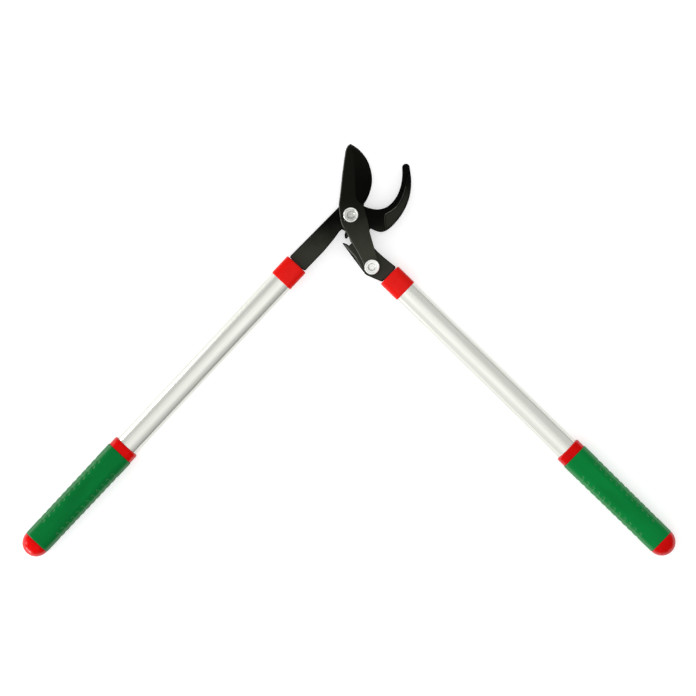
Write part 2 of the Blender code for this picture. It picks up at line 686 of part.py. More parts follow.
def build_collar(side, parent):
    """A moulded collar: an end wall with a slot for the plate, and a sleeve over the tube."""
    outer = TUBE_CLEAR_HALF + Vector((COLLAR_WALL, COLLAR_WALL))
    small = outer - Vector((COLLAR_BEVEL, COLLAR_BEVEL))
    rings = [
        section(0.0, oval(small, COLLAR_ROUNDNESS)),
        section(COLLAR_BEVEL, oval(outer, COLLAR_ROUNDNESS)),
        section(COLLAR_LENGTH - COLLAR_BEVEL / 2, oval(outer, COLLAR_ROUNDNESS)),
        section(COLLAR_LENGTH, oval(outer - Vector((COLLAR_BEVEL, COLLAR_BEVEL)) / 2, COLLAR_ROUNDNESS)),
    ]
    piece = add_object(f"{side}_collar", skin(f"{side}_collar", rings), parent)
    colour(piece, RED_PLASTIC)
    bore = oval(TUBE_CLEAR_HALF, TUBE_ROUNDNESS)
    bore_rings = [section(COLLAR_END_WALL, bore), section(COLLAR_LENGTH + COLLAR_WALL, bore)]
    name = f"{side}_collar_bore_cutter"
    cut(piece, add_object(name, skin(name, bore_rings), parent))
    slot = Vector((TANG_WIDTH / 2 + TOUCH_GAP, PLATE_THICKNESS / 2 + TOUCH_GAP))
    name = f"{side}_collar_slot_cutter"
    slot_rings = box_rings(-COLLAR_END_WALL, 2 * COLLAR_END_WALL, slot)
    cut(piece, add_object(name, skin(name, slot_rings), parent))


def build_tube(side, parent, pin_cutters):
    """The oval aluminium tube, drilled for the tang pins."""
    outer = oval(TUBE_HALF, TUBE_ROUNDNESS)
    bore = oval(TUBE_BORE_HALF, TUBE_ROUNDNESS)
    end = DOME_START - TOUCH_GAP
    rings = [section(TUBE_START, outer), section(end, outer), section(end, bore), section(TUBE_START, bore)]
    name = f"{side}_tube"
    piece = add_object(name, skin(name, rings, closed=True), parent)
    colour(piece, SATIN_ALUMINIUM)
    for cutter in pin_cutters:
        cut(piece, cutter)


def build_insert(side, parent, pin_cutters):
    """The moulded plug that fills the tube round the tang."""
    half = TUBE_BORE_HALF - Vector((TOUCH_GAP, TOUCH_GAP))
    slot_end = TUBE_START + TANG_LENGTH + TOUCH_GAP
    shape = oval(half, TUBE_ROUNDNESS)
    rings = [section(TUBE_START, shape), section(slot_end + INSERT_END_WALL, shape)]
    name = f"{side}_tang_insert"
    piece = add_object(name, skin(name, rings), parent)
    colour(piece, GREY_NYLON)
    slot = Vector((TANG_WIDTH / 2 + TOUCH_GAP, PLATE_THICKNESS / 2 + TOUCH_GAP))
    name = f"{side}_insert_slot_cutter"
    cut(piece, add_object(name, skin(name, box_rings(0.0, slot_end, slot)), parent))
    for cutter in pin_cutters:
        cut(piece, cutter)


def build_pins(side, parent, plate_piece):
    """The two cross pins through tube, insert and tang, hidden by the collar, and their holes."""
    radius = TANG_PIN_DIAMETER / 2
    half = TUBE_HEIGHT / 2 - TANG_PIN_RECESS
    cutters = []
    for number in (1, 2):
        x = TUBE_START + TANG_PIN_OFFSET + (number - 1) * TANG_PIN_SPACING
        name = f"{side}_tang_pin_{number}"
        pin = add_object(name, skin(name, cylinder_rings(radius, -half, half, 20)), parent, (x, 0.0, 0.0))
        colour(pin, BRIGHT_STEEL)
        name = f"{side}_pin_hole_cutter_{number}"
        rings = cylinder_rings(radius + HOLE_CLEARANCE, -TUBE_HEIGHT, TUBE_HEIGHT, 20)
        cutter = add_object(name, skin(name, rings), parent, (x, 0.0, 0.0))
        cutters.append(cutter)
        cut(plate_piece, cutter)
    return cutters


def scooped(x, points, half_width):
    """A section whose edge dips away from the tube between its two sides."""
    ring = []
    for p in points:
        dip = GRIP_RING_SCOOP * (1 - (p.x / half_width) ** 2)
        ring.append(Vector((x + dip, p.x, p.y)))
    return ring


def grip_section(half):
    """The grip's section, flat above and below."""
    return oval(half + Vector((0.0, GRIP_FLAT_CUT)), GRIP_ROUNDNESS, flat=half.y)


def build_grip_core(side, parent):
    """The hard core: a ring, a thin sleeve over the tube and a domed closed end."""
    bore = oval(TUBE_CLEAR_HALF, TUBE_ROUNDNESS)
    core = oval(CORE_HALF, TUBE_ROUNDNESS)
    ring_half = SLEEVE_HALF - Vector((GRIP_RING_STEP, GRIP_RING_STEP))
    ring_lip = ring_half - Vector((COLLAR_BEVEL, COLLAR_BEVEL))
    dome_half = SLEEVE_HALF - Vector((GRIP_TAPER + TOUCH_GAP, TOUCH_GAP))
    rings = [
        section(DOME_START, bore),
        scooped(RING_START, bore, ring_half.x),
        scooped(RING_START, grip_section(ring_lip), ring_half.x),
        scooped(RING_START + COLLAR_BEVEL, grip_section(ring_half), ring_half.x),
        section(SLEEVE_START, grip_section(ring_half)),
        section(SLEEVE_START, core),
        section(DOME_START, core),
    ]
    for i in range(DOME_STEPS + 1):
        angle = math.pi / 2 * i / (DOME_STEPS + 0.5)
        x = DOME_START + GRIP_DOME_LENGTH * math.sin(angle)
        rings.append(section(x, grip_section(dome_half * math.cos(angle))))
    name = f"{side}_grip_core"
    colour(add_object(name, skin(name, rings), parent), RED_PLASTIC)


def sleeve_ring(x, groove):
    """The soft sleeve's section at a distance, its ribbed sides drawn in by the groove."""
    taper = GRIP_TAPER * (x - SLEEVE_START) / GRIP_SLEEVE_LENGTH
    points = grip_section(SLEEVE_HALF - Vector((taper, 0.0)))
    shaped = []
    for p in points:
        depth = groove if abs(p.x) > RIB_PANEL_HALF_WIDTH else 0.0
        shaped.append(p * (1 - depth / p.length))
    return section(x, shaped)


def build_grip_sleeve(side, parent):
    """The soft sleeve over the core, with a row of cross grooves down each side."""
    start = SLEEVE_START + TOUCH_GAP
    end = DOME_START - TOUCH_GAP
    rings = [sleeve_ring(start, 0.0)]
    first = (start + end) / 2 - RIB_PITCH * (RIB_COUNT - 1) / 2
    for i in range(RIB_COUNT):
        x = first + i * RIB_PITCH
        rings.append(sleeve_ring(x - RIB_GROOVE_WIDTH / 2, 0.0))
        rings.append(sleeve_ring(x, RIB_GROOVE_DEPTH))
        rings.append(sleeve_ring(x + RIB_GROOVE_WIDTH / 2, 0.0))
    rings.append(sleeve_ring(end, 0.0))
    bore = oval(CORE_CLEAR_HALF, TUBE_ROUNDNESS)
    rings += [section(end, bore), section(start, bore)]
    name = f"{side}_grip_sleeve"
    colour(add_object(name, skin(name, rings, closed=True), parent), GREEN_RUBBER)


def build_handle(side, pivot_frame, axis, collar_start, plate_piece):
    """Everything on one handle, in the handle's own frame: +X runs from the collar to the grip."""
    start = axis.at(collar_start, 0.0)
    frame = empty(f"{side}_handle", (start.x, start.y, HANDLE_Z), pivot_frame, axis.angle)
    build_collar(side, frame)
    pin_cutters = build_pins(side, frame, plate_piece)
    build_tube(side, frame, pin_cutters)
    build_insert(side, frame, pin_cutters)
    build_grip_core(side, frame)
    build_grip_sleeve(side, frame)


def main():
    """Clear the scene and build the tool's three moving groups."""
    for old in list(bpy.data.objects):
        bpy.data.objects.remove(old, do_unlink=True)
    hook_side = empty("hook_side", (0.0, 0.0, 0.0))
    blade_side = empty("blade_side", (0.0, 0.0, 0.0))
    lever_side = empty("lever_side", (LINK_PIVOT.x, LINK_PIVOT.y, 0.0))

    hook_plate = build_hook_plate(hook_side)
    build_fastener("main_pivot", hook_side, MAIN_PIVOT)
    build_handle("left", hook_side, LEFT_AXIS, LEFT_COLLAR_START, hook_plate)

    build_blade(blade_side)
    build_fastener("link_pivot", blade_side, LINK_PIVOT)

    lever_plate = plate("lever_plate", lever_plate_outline(), lever_side, [MAIN_PIVOT])
    build_handle("right", lever_side, RIGHT_AXIS, RIGHT_COLLAR_START, lever_plate)


main()
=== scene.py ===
"""Looks for an open geared bypass lopper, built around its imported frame.

Every length is in metres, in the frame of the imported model: the origin is on the main pivot's
axis at the plane the tool rests on, +Y points along the open blade and +X towards the hook.
"""

import logging
import math
from collections.abc import Callable, Iterable, Mapping, Sequence
from dataclasses import dataclass
from enum import Enum

import bmesh
import bpy
from mathutils import Matrix, Vector


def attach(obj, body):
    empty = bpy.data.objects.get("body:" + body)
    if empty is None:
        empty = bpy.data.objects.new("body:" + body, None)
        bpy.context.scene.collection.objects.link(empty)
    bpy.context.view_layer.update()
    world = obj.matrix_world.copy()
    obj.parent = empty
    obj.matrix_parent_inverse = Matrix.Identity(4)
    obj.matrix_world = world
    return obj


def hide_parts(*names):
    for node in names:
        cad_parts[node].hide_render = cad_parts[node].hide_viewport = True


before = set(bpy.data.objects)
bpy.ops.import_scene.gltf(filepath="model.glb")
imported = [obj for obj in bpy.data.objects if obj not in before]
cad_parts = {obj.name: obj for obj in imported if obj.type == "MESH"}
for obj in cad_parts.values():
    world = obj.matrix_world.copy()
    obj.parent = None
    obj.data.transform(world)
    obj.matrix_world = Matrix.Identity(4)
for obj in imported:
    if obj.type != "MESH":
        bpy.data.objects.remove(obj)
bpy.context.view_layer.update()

LOG = logging.getLogger("lopper")
MERGE_DISTANCE = 1e-6

# An edge gloss loses this share at the rim, between these multiples of the value where it is full.
RIM_FADE = 0.75
RIM_FADE_START = 0.75
RIM_FADE_END = 1.7

# A section's slant is taken between two of its points, this angle in radians to either side.
SLANT_STEP = 0.01

Colour = tuple[float, float, float]
WHITE = (1.0, 1.0, 1.0, 1.0)


class Body(Enum):
    """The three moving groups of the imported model."""

    HOOK_SIDE = "hook_side"
    BLADE_SIDE = "blade_side"
    LEVER_SIDE = "lever_side"


class Slot(Enum):
    """The record's material slots."""

    BLACK_STEEL = "black_steel"
    BRIGHT_STEEL = "bright_steel"
    ALUMINIUM = "aluminium"
    RED_PLASTIC = "red_plastic"
    GREEN_RUBBER = "green_rubber"
    GREY_NYLON = "grey_nylon"


class Carving(Enum):
    """What a second form does to the first."""

    CUT = "DIFFERENCE"
    KEEP_COMMON = "INTERSECT"


@dataclass(frozen=True)
class Pattern:
    """A cloudy pattern on a finish: how big its features are, how fine and how swirled it is.

    Where it has a rise, it goes smoothly from 0 at the rise's first value to 1 at its second.
    """

    size: float
    detail: float = 2.0
    swirl: float = 0.0
    rise: tuple[float, float] | None = None


class Wire:
    """A value on its way through a shader. Each operator adds one Math node."""

    def __init__(self, graph: "Graph", socket: bpy.types.NodeSocket) -> None:
        """Wrap one output socket of the graph."""
        self.graph = graph
        self.socket = socket

    def maths(self, operation: str, *values: "Wire | float") -> "Wire":
        """Add a Math node that works on these values."""
        return self.graph.node("ShaderNodeMath", {"operation": operation}, dict(enumerate(values)))

    def size(self) -> "Wire":
        """The value without its sign."""
        return self.maths("ABSOLUTE", self)

    def __add__(self, other: "Wire | float") -> "Wire":
        """Sum."""
        return self.maths("ADD", self, other)

    def __radd__(self, other: float) -> "Wire":
        """Sum, with the number first."""
        return self.maths("ADD", other, self)

    def __sub__(self, other: "Wire | float") -> "Wire":
        """Difference."""
        return self.maths("SUBTRACT", self, other)

    def __rsub__(self, other: float) -> "Wire":
        """Difference, with the number first."""
        return self.maths("SUBTRACT", other, self)

    def __mul__(self, other: "Wire | float") -> "Wire":
        """Product."""
        return self.maths("MULTIPLY", self, other)

    def sine(self) -> "Wire":
        """Sine of the value in radians."""
        return self.maths("SINE", self)

    def swing(self, width: float) -> "Wire":
        """The value's swing about a half, made this wide."""
        return (self - 0.5) * width

    def step(self, low: float, high: float) -> "Wire":
        """A smooth rise from 0 at the low value to 1 at the high one."""
        sockets = {"Value": self, "From Min": low, "From Max": high}
        return self.graph.node("ShaderNodeMapRange", {"interpolation_type": "SMOOTHSTEP"}, sockets)


class Graph:
    """The nodes of one material or of the world."""

    def __init__(self, block: bpy.types.Material | bpy.types.World, shader: str) -> None:
        """Start on a block's nodes, with its shader.

        Args:
            block: the material or world that holds the nodes.
            shader: the name of its shader node.
        """
        block.use_nodes = True
        self.block = block
        self.tree = block.node_tree
        self.shader = self.tree.nodes[shader]

    @classmethod
    def finish(cls, name: str) -> "Graph":
        """Start a material with its Principled shader."""
        return cls(bpy.data.materials.new(name), "Principled BSDF")

    def node(self, kind: str, settings: Mapping[str, object], sockets: Mapping[str | int, object],
             output: str | int = 0) -> Wire:
        """Add a node.

        Args:
            kind: the node's type.
            settings: its own settings, set first.
            sockets: values or wires for its inputs, by name or number.
            output: the output to hand on.

        Returns:
            The chosen output.
        """
        made = self.tree.nodes.new(kind)
        for name, value in settings.items():
            setattr(made, name, value)
        self.fill(made, sockets)
        return Wire(self, made.outputs[output])

    def fill(self, node: bpy.types.Node, sockets: Mapping[str | int, object]) -> None:
        """Set or link a node's inputs.

        Args:
            node: the node.
            sockets: values or wires for its inputs, by name or number.
        """
        for key, value in sockets.items():
            if isinstance(value, Wire):
                self.tree.links.new(value.socket, node.inputs[key])
            else:
                node.inputs[key].default_value = value

    def dress(self, sockets: Mapping[str, object]) -> None:
        """Set or link the shader's own sockets."""
        self.fill(self.shader, sockets)

    def place(self, origin: Sequence[float] = (0.0, 0.0, 0.0), turn: float = 0.0,
              grain: Sequence[float] = (1.0, 1.0, 1.0)) -> Wire:
        """Object coordinates seen from a place on the object.

        Args:
            origin: the point that becomes the middle.
            turn: the direction of the new X axis, in radians.
            grain: how long one unit is along each new axis, in metres.

        Returns:
            The turned and stretched coordinates.
        """
        coordinates = self.node("ShaderNodeTexCoord", {}, {}, "Object")
        sockets = {"Vector": coordinates, "Location": origin, "Rotation": (0.0, 0.0, turn), "Scale": grain}
        return self.node("ShaderNodeMapping", {"vector_type": "TEXTURE"}, sockets)

    def noise(self, place: Wire, pattern: Pattern) -> Wire:
        """Draw a cloudy pattern.

        Args:
            place: the coordinates that it is drawn on.
            pattern: the pattern, its size in the place's units.

        Returns:
            The pattern's value.
        """
        sockets = {"Vector": place, "Scale": 1.0 / pattern.size, "Detail": pattern.detail,
                   "Distortion": pattern.swirl}
        cloud = self.node("ShaderNodeTexNoise", {}, sockets)
        return cloud.step(*pattern.rise) if pattern.rise else cloud

    def mixed(self, share: Wire, first: "Wire | Colour", second: "Wire | Colour") -> Wire:
        """Mix two colours.

        Args:
            share: how much of the second there is, from 0 to 1.
            first: the colour where the share is 0.
            second: the colour where the share is 1.

        Returns:
            The mixed colour.
        """
        colours = [colour if isinstance(colour, Wire) else (*colour, 1.0) for colour in (first, second)]
        # A Mix node's colours are its inputs 6 and 7, and their mix is its output 2.
        sockets = {0: share, 6: colours[0], 7: colours[1]}
        return self.node("ShaderNodeMix", {"data_type": "RGBA"}, sockets, 2)

    def bump(self, height: Wire, depth: float) -> None:
        """Relief of this depth on the shader's normal."""
        self.dress({"Normal": self.node("ShaderNodeBump", {}, {"Height": height, "Distance": depth})})

    def edge_gloss(self, roughness: float, start: float = 0.14, full: float = 0.44) -> None:
        """A gloss that shows where the surface is seen at a slant and fades at its very rim.

        Args:
            roughness: the gloss's roughness.
            start: the facing value where it starts.
            full: the facing value where it is full.
        """
        facing = self.node("ShaderNodeLayerWeight", {}, {"Blend": 0.5}, "Facing")
        fading = facing.step(full * RIM_FADE_START, full * RIM_FADE_END) * RIM_FADE
        weight = facing.step(start, full) * (1.0 - fading)
        self.dress({"Coat Weight": weight, "Coat Roughness": roughness})


@dataclass(frozen=True)
class Pivot:
    """A pivot's axis, by its place in plan."""

    name: str
    x: float
    y: float

    @property
    def point(self) -> Vector:
        """The axis where it meets the resting plane."""
        return Vector((self.x, self.y, 0.0))


MAIN_PIVOT = Pivot("main_pivot", 0.0, 0.0)
LINK_PIVOT = Pivot("link_pivot", 0.0274644, -0.0676366)


@dataclass(frozen=True)
class HandlePlace:
    """How a handle lies: its direction, and where its collar starts.

    In a handle's own frame +X runs from the collar to the grip's end.
    """

    name: str
    body: Body
    pivot: Pivot
    direction: float
    side: int
    offset: float
    collar_start: float
    height: float = 0.014

    @property
    def turn(self) -> float:
        """The handle's direction in radians."""
        return math.radians(self.direction)

    @property
    def origin(self) -> Vector:
        """Find where the handle's own frame starts.

        Returns:
            The middle of the collar's closed end.
        """
        along = Vector((math.cos(self.turn), math.sin(self.turn), 0.0))
        outward = Vector((-along.y, along.x, 0.0)) * self.side
        foot = self.pivot.point + outward * self.offset + along * self.collar_start
        return foot + Vector((0.0, 0.0, self.height))

    @property
    def matrix(self) -> Matrix:
        """From the handle's own frame to the tool's."""
        return Matrix.Translation(self.origin) @ Matrix.Rotation(self.turn, 4, "Z")


LEFT_HANDLE = HandlePlace("left", Body.HOOK_SIDE, MAIN_PIVOT, direction=226.9, side=-1, offset=0.0075,
                          collar_start=0.0946)
RIGHT_HANDLE = HandlePlace("right", Body.LEVER_SIDE, LINK_PIVOT, direction=315.6, side=1, offset=0.00845,
                           collar_start=0.0233)


@dataclass(frozen=True)
class Streak:
    """A straight painted highlight on a plate, standing in for an edge that catches the light: where it
    starts, its direction in degrees, its size and strength.
    """

    start: tuple[float, float]
    direction: float
    length: float
    half_width: float
    strength: float
    start_run: float = 0.002
    full_length: float = 0.6
    full_width: float = 0.4
    faded_width: float = 1.5

    def share(self, graph: Graph) -> Wire:
        """Draw the line with soft ends and sides.

        Args:
            graph: the coating's nodes.

        Returns:
            The share of the painted highlight.
        """
        place = graph.place((*self.start, 0.0), math.radians(self.direction))
        along = graph.node("ShaderNodeSeparateXYZ", {}, {0: place}, "X")
        across = graph.node("ShaderNodeSeparateXYZ", {}, {0: place}, "Y").size()
        ends = along.step(0.0, self.start_run) * along.step(self.length, self.length * self.full_length)
        sides = across.step(self.half_width * self.faded_width, self.half_width * self.full_width)
        return ends * sides * self.strength


@dataclass(frozen=True)
class BlackCoating:
    """Satin non-stick coating on forged steel, with painted light: lighter towards the handles, and painted
    highlights on some edges.

    The plate's faces carry how much painted highlight they take, how deep black their painted shade is, and
    whether they are on a raised rim.
    """

    name: str
    # The tone goes from the dark end to the light end along Y: painted light, lighter towards the handles.
    painted_dark_tone: Colour
    painted_light_tone: Colour
    painted_dark_y: float
    painted_light_y: float
    streaks: tuple[Streak, ...] = ()
    # The colour of the painted shade on deep black faces.
    deep: Colour = (0.0008, 0.0009, 0.0002)
    rim: Colour = (0.021, 0.0215, 0.0165)
    # The colour of the painted highlights.
    painted_highlight: Colour = (0.150, 0.151, 0.135)
    rim_black_y: float = 0.048
    rim_grey_y: float = 0.004
    deep_y: float = 0.042
    tip_y: float = 0.074
    tip_greying: float = 0.75
    roughness: float = 0.36
    unevenness: float = 0.12
    specular: float = 0.035
    clouds: Pattern = Pattern(0.016, 3.0)
    cloud_drift: float = 0.02
    cloud_relief: float = 2.0
    grains: Pattern = Pattern(0.0009, 4.0)
    grain_shade: float = 0.6
    # Patches that break up the painted highlights.
    highlight_patches: Pattern = Pattern(0.004, 4.0, rise=(0.20, 0.55))
    relief: float = 0.00004

    def material(self) -> bpy.types.Material:
        """Build the coating's nodes.

        Returns:
            The material.
        """
        graph = Graph.finish(f"black_coating_{self.name}")
        place = graph.place()
        height = graph.node("ShaderNodeSeparateXYZ", {}, {0: place}, "Y")
        cloud = graph.noise(place, self.clouds)
        grain = graph.noise(place, self.grains)
        drift = height + cloud.swing(self.cloud_drift)
        marks = {name: graph.node("ShaderNodeAttribute", {"attribute_name": name}, {}, "Fac")
                 for name in ("painted_highlight", "deep", "raised")}
        # Painted light: the coating turns lighter along Y towards the handles.
        base = graph.mixed(drift.step(self.painted_dark_y, self.painted_light_y), self.painted_dark_tone, self.painted_light_tone)
        rim = graph.mixed(drift.step(self.rim_black_y, self.rim_grey_y), self.painted_dark_tone, self.rim)
        base = graph.mixed(marks["raised"], base, rim)
        # Painted shade on the deep black faces, weaker towards the blade's tip.
        deepest = 1.0 - height.step(self.deep_y, self.tip_y) * self.tip_greying
        base = graph.mixed(marks["deep"] * deepest, base, self.deep)
        # Painted highlights on the marked faces and along the streaks.
        highlight_share = marks["painted_highlight"] * graph.noise(place, self.highlight_patches)
        for streak in self.streaks:
            highlight_share = highlight_share + streak.share(graph)
        shade = 1.0 - self.grain_shade / 2.0 + grain * self.grain_shade
        grained = graph.node("ShaderNodeVectorMath", {"operation": "SCALE"}, {"Vector": base, "Scale": shade})
        graph.dress({
            "Base Color": graph.mixed(highlight_share, grained, self.painted_highlight),
            "Roughness": self.roughness + cloud.swing(self.unevenness) + grain.swing(self.unevenness),
            "Specular IOR Level": self.specular,
        })
        graph.bump(grain + cloud * self.cloud_relief, self.relief)
        return graph.block


@dataclass(frozen=True)
class BrightZinc:
    """Bright zinc plate over turned steel, duller where a head is dished, with a ring of painted shade round
    the socket.
    """

    light: Colour = (0.88, 0.88, 0.85)
    dull: Colour = (0.56, 0.57, 0.54)
    # The painted shade in a patchy ring round the socket's mouth: its colour, strength, place and patches.
    socket_shade: Colour = (0.22, 0.23, 0.21)
    dulling: float = 0.75
    socket_shading: float = 0.6
    socket_shade_radius: float = 0.0047
    socket_shade_width: float = 0.0016
    socket_shade_patches: Pattern = Pattern(0.0042, 1.0, rise=(0.36, 0.66))
    roughness: float = 0.24
    dull_roughness: float = 0.12
    speck_roughness: float = 0.10
    turning_pitch: float = 0.00042
    turning_relief: float = 0.35
    clouds: Pattern = Pattern(0.0035, 4.0, 0.6)
    cloud_rise: tuple[float, float] = (0.40, 0.62)
    cloud_dulling: float = 0.5
    cloud_relief: float = 3.0
    specks: Pattern = Pattern(0.0006)
    dish_radius: float = 0.0081
    dish_floor: float = 0.93
    dish_dulling: float = 0.6
    relief: float = 0.00003

    def material(self, pivot: Pivot) -> bpy.types.Material:
        """Build the plating's nodes.

        Args:
            pivot: the pivot that the turning marks go round.

        Returns:
            The material.
        """
        graph = Graph.finish(f"bright_zinc_{pivot.name}")
        place = graph.place(pivot.point)
        plan = graph.node("ShaderNodeVectorMath", {"operation": "MULTIPLY"}, {0: place, 1: (1.0, 1.0, 0.0)})
        radius = graph.node("ShaderNodeVectorMath", {"operation": "LENGTH"}, {0: plan}, "Value")
        turning = (radius * (2.0 * math.pi / self.turning_pitch)).sine()
        cloud = graph.noise(place, self.clouds)
        speck = graph.noise(place, self.specks)
        dish = radius.step(self.dish_radius, self.dish_radius * self.dish_floor)
        dulled = (dish * self.dish_dulling + cloud.step(*self.cloud_rise) * self.cloud_dulling) * self.dulling
        # Painted shade: a patchy dark ring round the socket's mouth.
        ring = (radius - self.socket_shade_radius).size().step(self.socket_shade_width, 0.0)
        socket_shaded = ring * graph.noise(place, self.socket_shade_patches) * self.socket_shading
        graph.dress({
            "Base Color": graph.mixed(socket_shaded, graph.mixed(dulled, self.light, self.dull), self.socket_shade),
            "Roughness": self.roughness + dulled * self.dull_roughness + speck.swing(self.speck_roughness),
            "Metallic": 1.0,
        })
        graph.bump(turning * self.turning_relief + cloud * self.cloud_relief + speck, self.relief)
        return graph.block


@dataclass(frozen=True)
class SatinAluminium:
    """Anodised drawn tube: fine lines along it and a soft cloud across it."""

    light: Colour = (0.83, 0.835, 0.775)
    dark: Colour = (0.70, 0.705, 0.65)
    edge: Colour = (0.55, 0.55, 0.52)
    roughness: float = 0.27
    line_grain: tuple[float, float, float] = (0.06, 0.0004, 0.0004)
    lines: Pattern = Pattern(1.0, 3.0)
    line_rise: tuple[float, float] = (0.3, 0.7)
    line_darkening: float = 0.5
    line_roughness: float = 0.12
    cloud_grain: tuple[float, float, float] = (0.08, 0.012, 0.012)
    clouds: Pattern = Pattern(1.0)
    cloud_darkening: float = 0.35
    cloud_roughness: float = 0.08
    specks: Pattern = Pattern(0.0009)
    speck_relief: float = 0.5
    relief: float = 0.000006

    def material(self, handle: HandlePlace) -> bpy.types.Material:
        """Build the tube's nodes.

        Args:
            handle: the handle that the drawing lines run along.

        Returns:
            The material.
        """
        graph = Graph.finish(f"satin_aluminium_{handle.name}")
        line = graph.noise(graph.place(handle.origin, handle.turn, self.line_grain), self.lines)
        cloud = graph.noise(graph.place(handle.origin, handle.turn, self.cloud_grain), self.clouds)
        speck = graph.noise(graph.place(handle.origin), self.specks)
        darkening = line.step(*self.line_rise) * self.line_darkening + cloud * self.cloud_darkening
        graph.dress({
            "Base Color": graph.mixed(darkening, self.light, self.dark),
            "Roughness": self.roughness + cloud.swing(self.cloud_roughness) + line.swing(self.line_roughness),
            "Metallic": 1.0,
            "Specular Tint": (*self.edge, 1.0),
        })
        graph.bump(line + speck * self.speck_relief, self.relief)
        return graph.block


@dataclass(frozen=True)
class GlossRed:
    """Glossy moulded plastic with faint scuffs."""

    name: str
    colour: Colour = (0.80, 0.0040, 0.0008)
    deep: Colour = (0.68, 0.003, 0.0006)
    roughness: float = 0.25
    specular: float = 0.13
    edge_gloss: float | None = None
    flows: Pattern = Pattern(0.018, swirl=0.8)
    flow_rise: tuple[float, float] = (0.35, 0.75)
    flow_deepening: float = 0.55
    flow_relief: float = 4.0
    scuffs: Pattern = Pattern(0.0022, 5.0, 1.2, (0.56, 0.74))
    scuff_roughness: float = 0.14
    skins: Pattern = Pattern(0.0009)
    skin_roughness: float = 0.06
    relief: float = 0.00002

    def material(self) -> bpy.types.Material:
        """Build the plastic's nodes.

        Returns:
            The material.
        """
        graph = Graph.finish(f"gloss_red_{self.name}")
        place = graph.place()
        flow = graph.noise(place, self.flows)
        scuff = graph.noise(place, self.scuffs)
        skin = graph.noise(place, self.skins)
        deepening = flow.step(*self.flow_rise) * self.flow_deepening
        graph.dress({
            "Base Color": graph.mixed(deepening, self.colour, self.deep),
            "Roughness": self.roughness + scuff * self.scuff_roughness + skin.swing(self.skin_roughness),
            "Specular IOR Level": self.specular,
        })
        if self.edge_gloss:
            graph.edge_gloss(self.edge_gloss)
        graph.bump(skin + flow * self.flow_relief, self.relief)
        return graph.block


@dataclass(frozen=True)
class GreenSoftGrip:
    """Soft satin rubber with a fine pebbled skin and a little dust."""

    colour: Colour = (0.0004, 0.158, 0.029)
    deep: Colour = (0.0002, 0.138, 0.025)
    dusty: Colour = (0.008, 0.200, 0.052)
    roughness: float = 0.38
    specular: float = 0.05
    edge_gloss: float = 0.34
    gloss_start: float = 0.09
    gloss_full: float = 0.38
    gloss_ior: float = 1.6
    shade_grain: tuple[float, float, float] = (0.05, 0.016, 0.016)
    shades: Pattern = Pattern(1.0, rise=(0.3, 0.7))
    pebbles: Pattern = Pattern(0.0008)
    pebble_roughness: float = 0.14
    dusting: Pattern = Pattern(0.0045, 5.0, 0.8, (0.55, 0.80))
    dust_share: float = 0.35
    dust_roughness: float = 0.08
    relief: float = 0.00006

    def material(self, handle: HandlePlace) -> bpy.types.Material:
        """Build the rubber's nodes.

        Args:
            handle: the handle that the slow changes of shade run along.

        Returns:
            The material.
        """
        graph = Graph.finish(f"green_soft_grip_{handle.name}")
        place = graph.place(handle.origin, handle.turn)
        shade = graph.noise(graph.place(handle.origin, handle.turn, self.shade_grain), self.shades)
        pebble = graph.noise(place, self.pebbles)
        dust = graph.noise(place, self.dusting)
        base = graph.mixed(shade, self.colour, self.deep)
        graph.dress({
            "Base Color": graph.mixed(dust * self.dust_share, base, self.dusty),
            "Roughness": self.roughness + pebble.swing(self.pebble_roughness) + dust * self.dust_roughness,
            "Specular IOR Level": self.specular,
            "Coat IOR": self.gloss_ior,
        })
        graph.edge_gloss(self.edge_gloss, self.gloss_start, self.gloss_full)
        graph.bump(pebble, self.relief)
        return graph.block


@dataclass(frozen=True)
class GreyNylon:
    """Plain moulded nylon."""

    light: Colour = (0.38, 0.39, 0.41)
    dark: Colour = (0.28, 0.29, 0.31)
    roughness: float = 0.46
    clouds: Pattern = Pattern(0.004, 3.0)
    skins: Pattern = Pattern(0.0006)
    skin_roughness: float = 0.16
    relief: float = 0.00003

    def material(self) -> bpy.types.Material:
        """Build the nylon's nodes.

        Returns:
            The material.
        """
        graph = Graph.finish("grey_nylon")
        place = graph.place()
        cloud = graph.noise(place, self.clouds)
        skin = graph.noise(place, self.skins)
        graph.dress({
            "Base Color": graph.mixed(cloud, self.light, self.dark),
            "Roughness": self.roughness + skin.swing(self.skin_roughness),
        })
        graph.bump(skin, self.relief)
        return graph.block


# Each coating's tone runs from its dark end to its light end along Y, as painted light.
HOOK_COATING = BlackCoating("hook", painted_dark_tone=(0.0007, 0.0007, 0.0003), painted_light_tone=(0.037, 0.0385, 0.029),
                            painted_dark_y=-0.002, painted_light_y=-0.060)
BLADE_COATING = BlackCoating("blade", painted_dark_tone=(0.0050, 0.0054, 0.0030), painted_light_tone=(0.041, 0.043, 0.032),
                             painted_dark_y=0.025, painted_light_y=-0.060)
# The lever's streaks are painted highlights where its edges catch the light.
LEVER_COATING = BlackCoating("lever", painted_dark_tone=(0.034, 0.0345, 0.027), painted_light_tone=(0.042, 0.042, 0.034),
                             painted_dark_y=-0.050, painted_light_y=-0.080,
                             streaks=(Streak((-0.0088, -0.0382), -47.0, 0.027, 0.0007, 1.2),
                                      Streak((0.0050, -0.0530), -60.0, 0.022, 0.0011, 0.5)))
MAIN_ZINC = BrightZinc(dull=(0.44, 0.455, 0.42), dulling=1.0)
LINK_ZINC = BrightZinc(dulling=0.2, socket_shading=0.95)
COLLAR_RED = GlossRed("collar")
GRIP_RED = GlossRed("grip", colour=(0.66, 0.0010, 0.0005), deep=(0.56, 0.0006, 0.0004), specular=0.06,
                    edge_gloss=0.22)
LEFT_RUBBER = GreenSoftGrip()
# The right grip's rubber is a lighter copy of the left's: painted light, for the brighter light on the right
# grip.
RIGHT_RUBBER_PAINTED_LIGHTER = GreenSoftGrip(colour=(0.0010, 0.222, 0.042), deep=(0.0007, 0.195, 0.035))


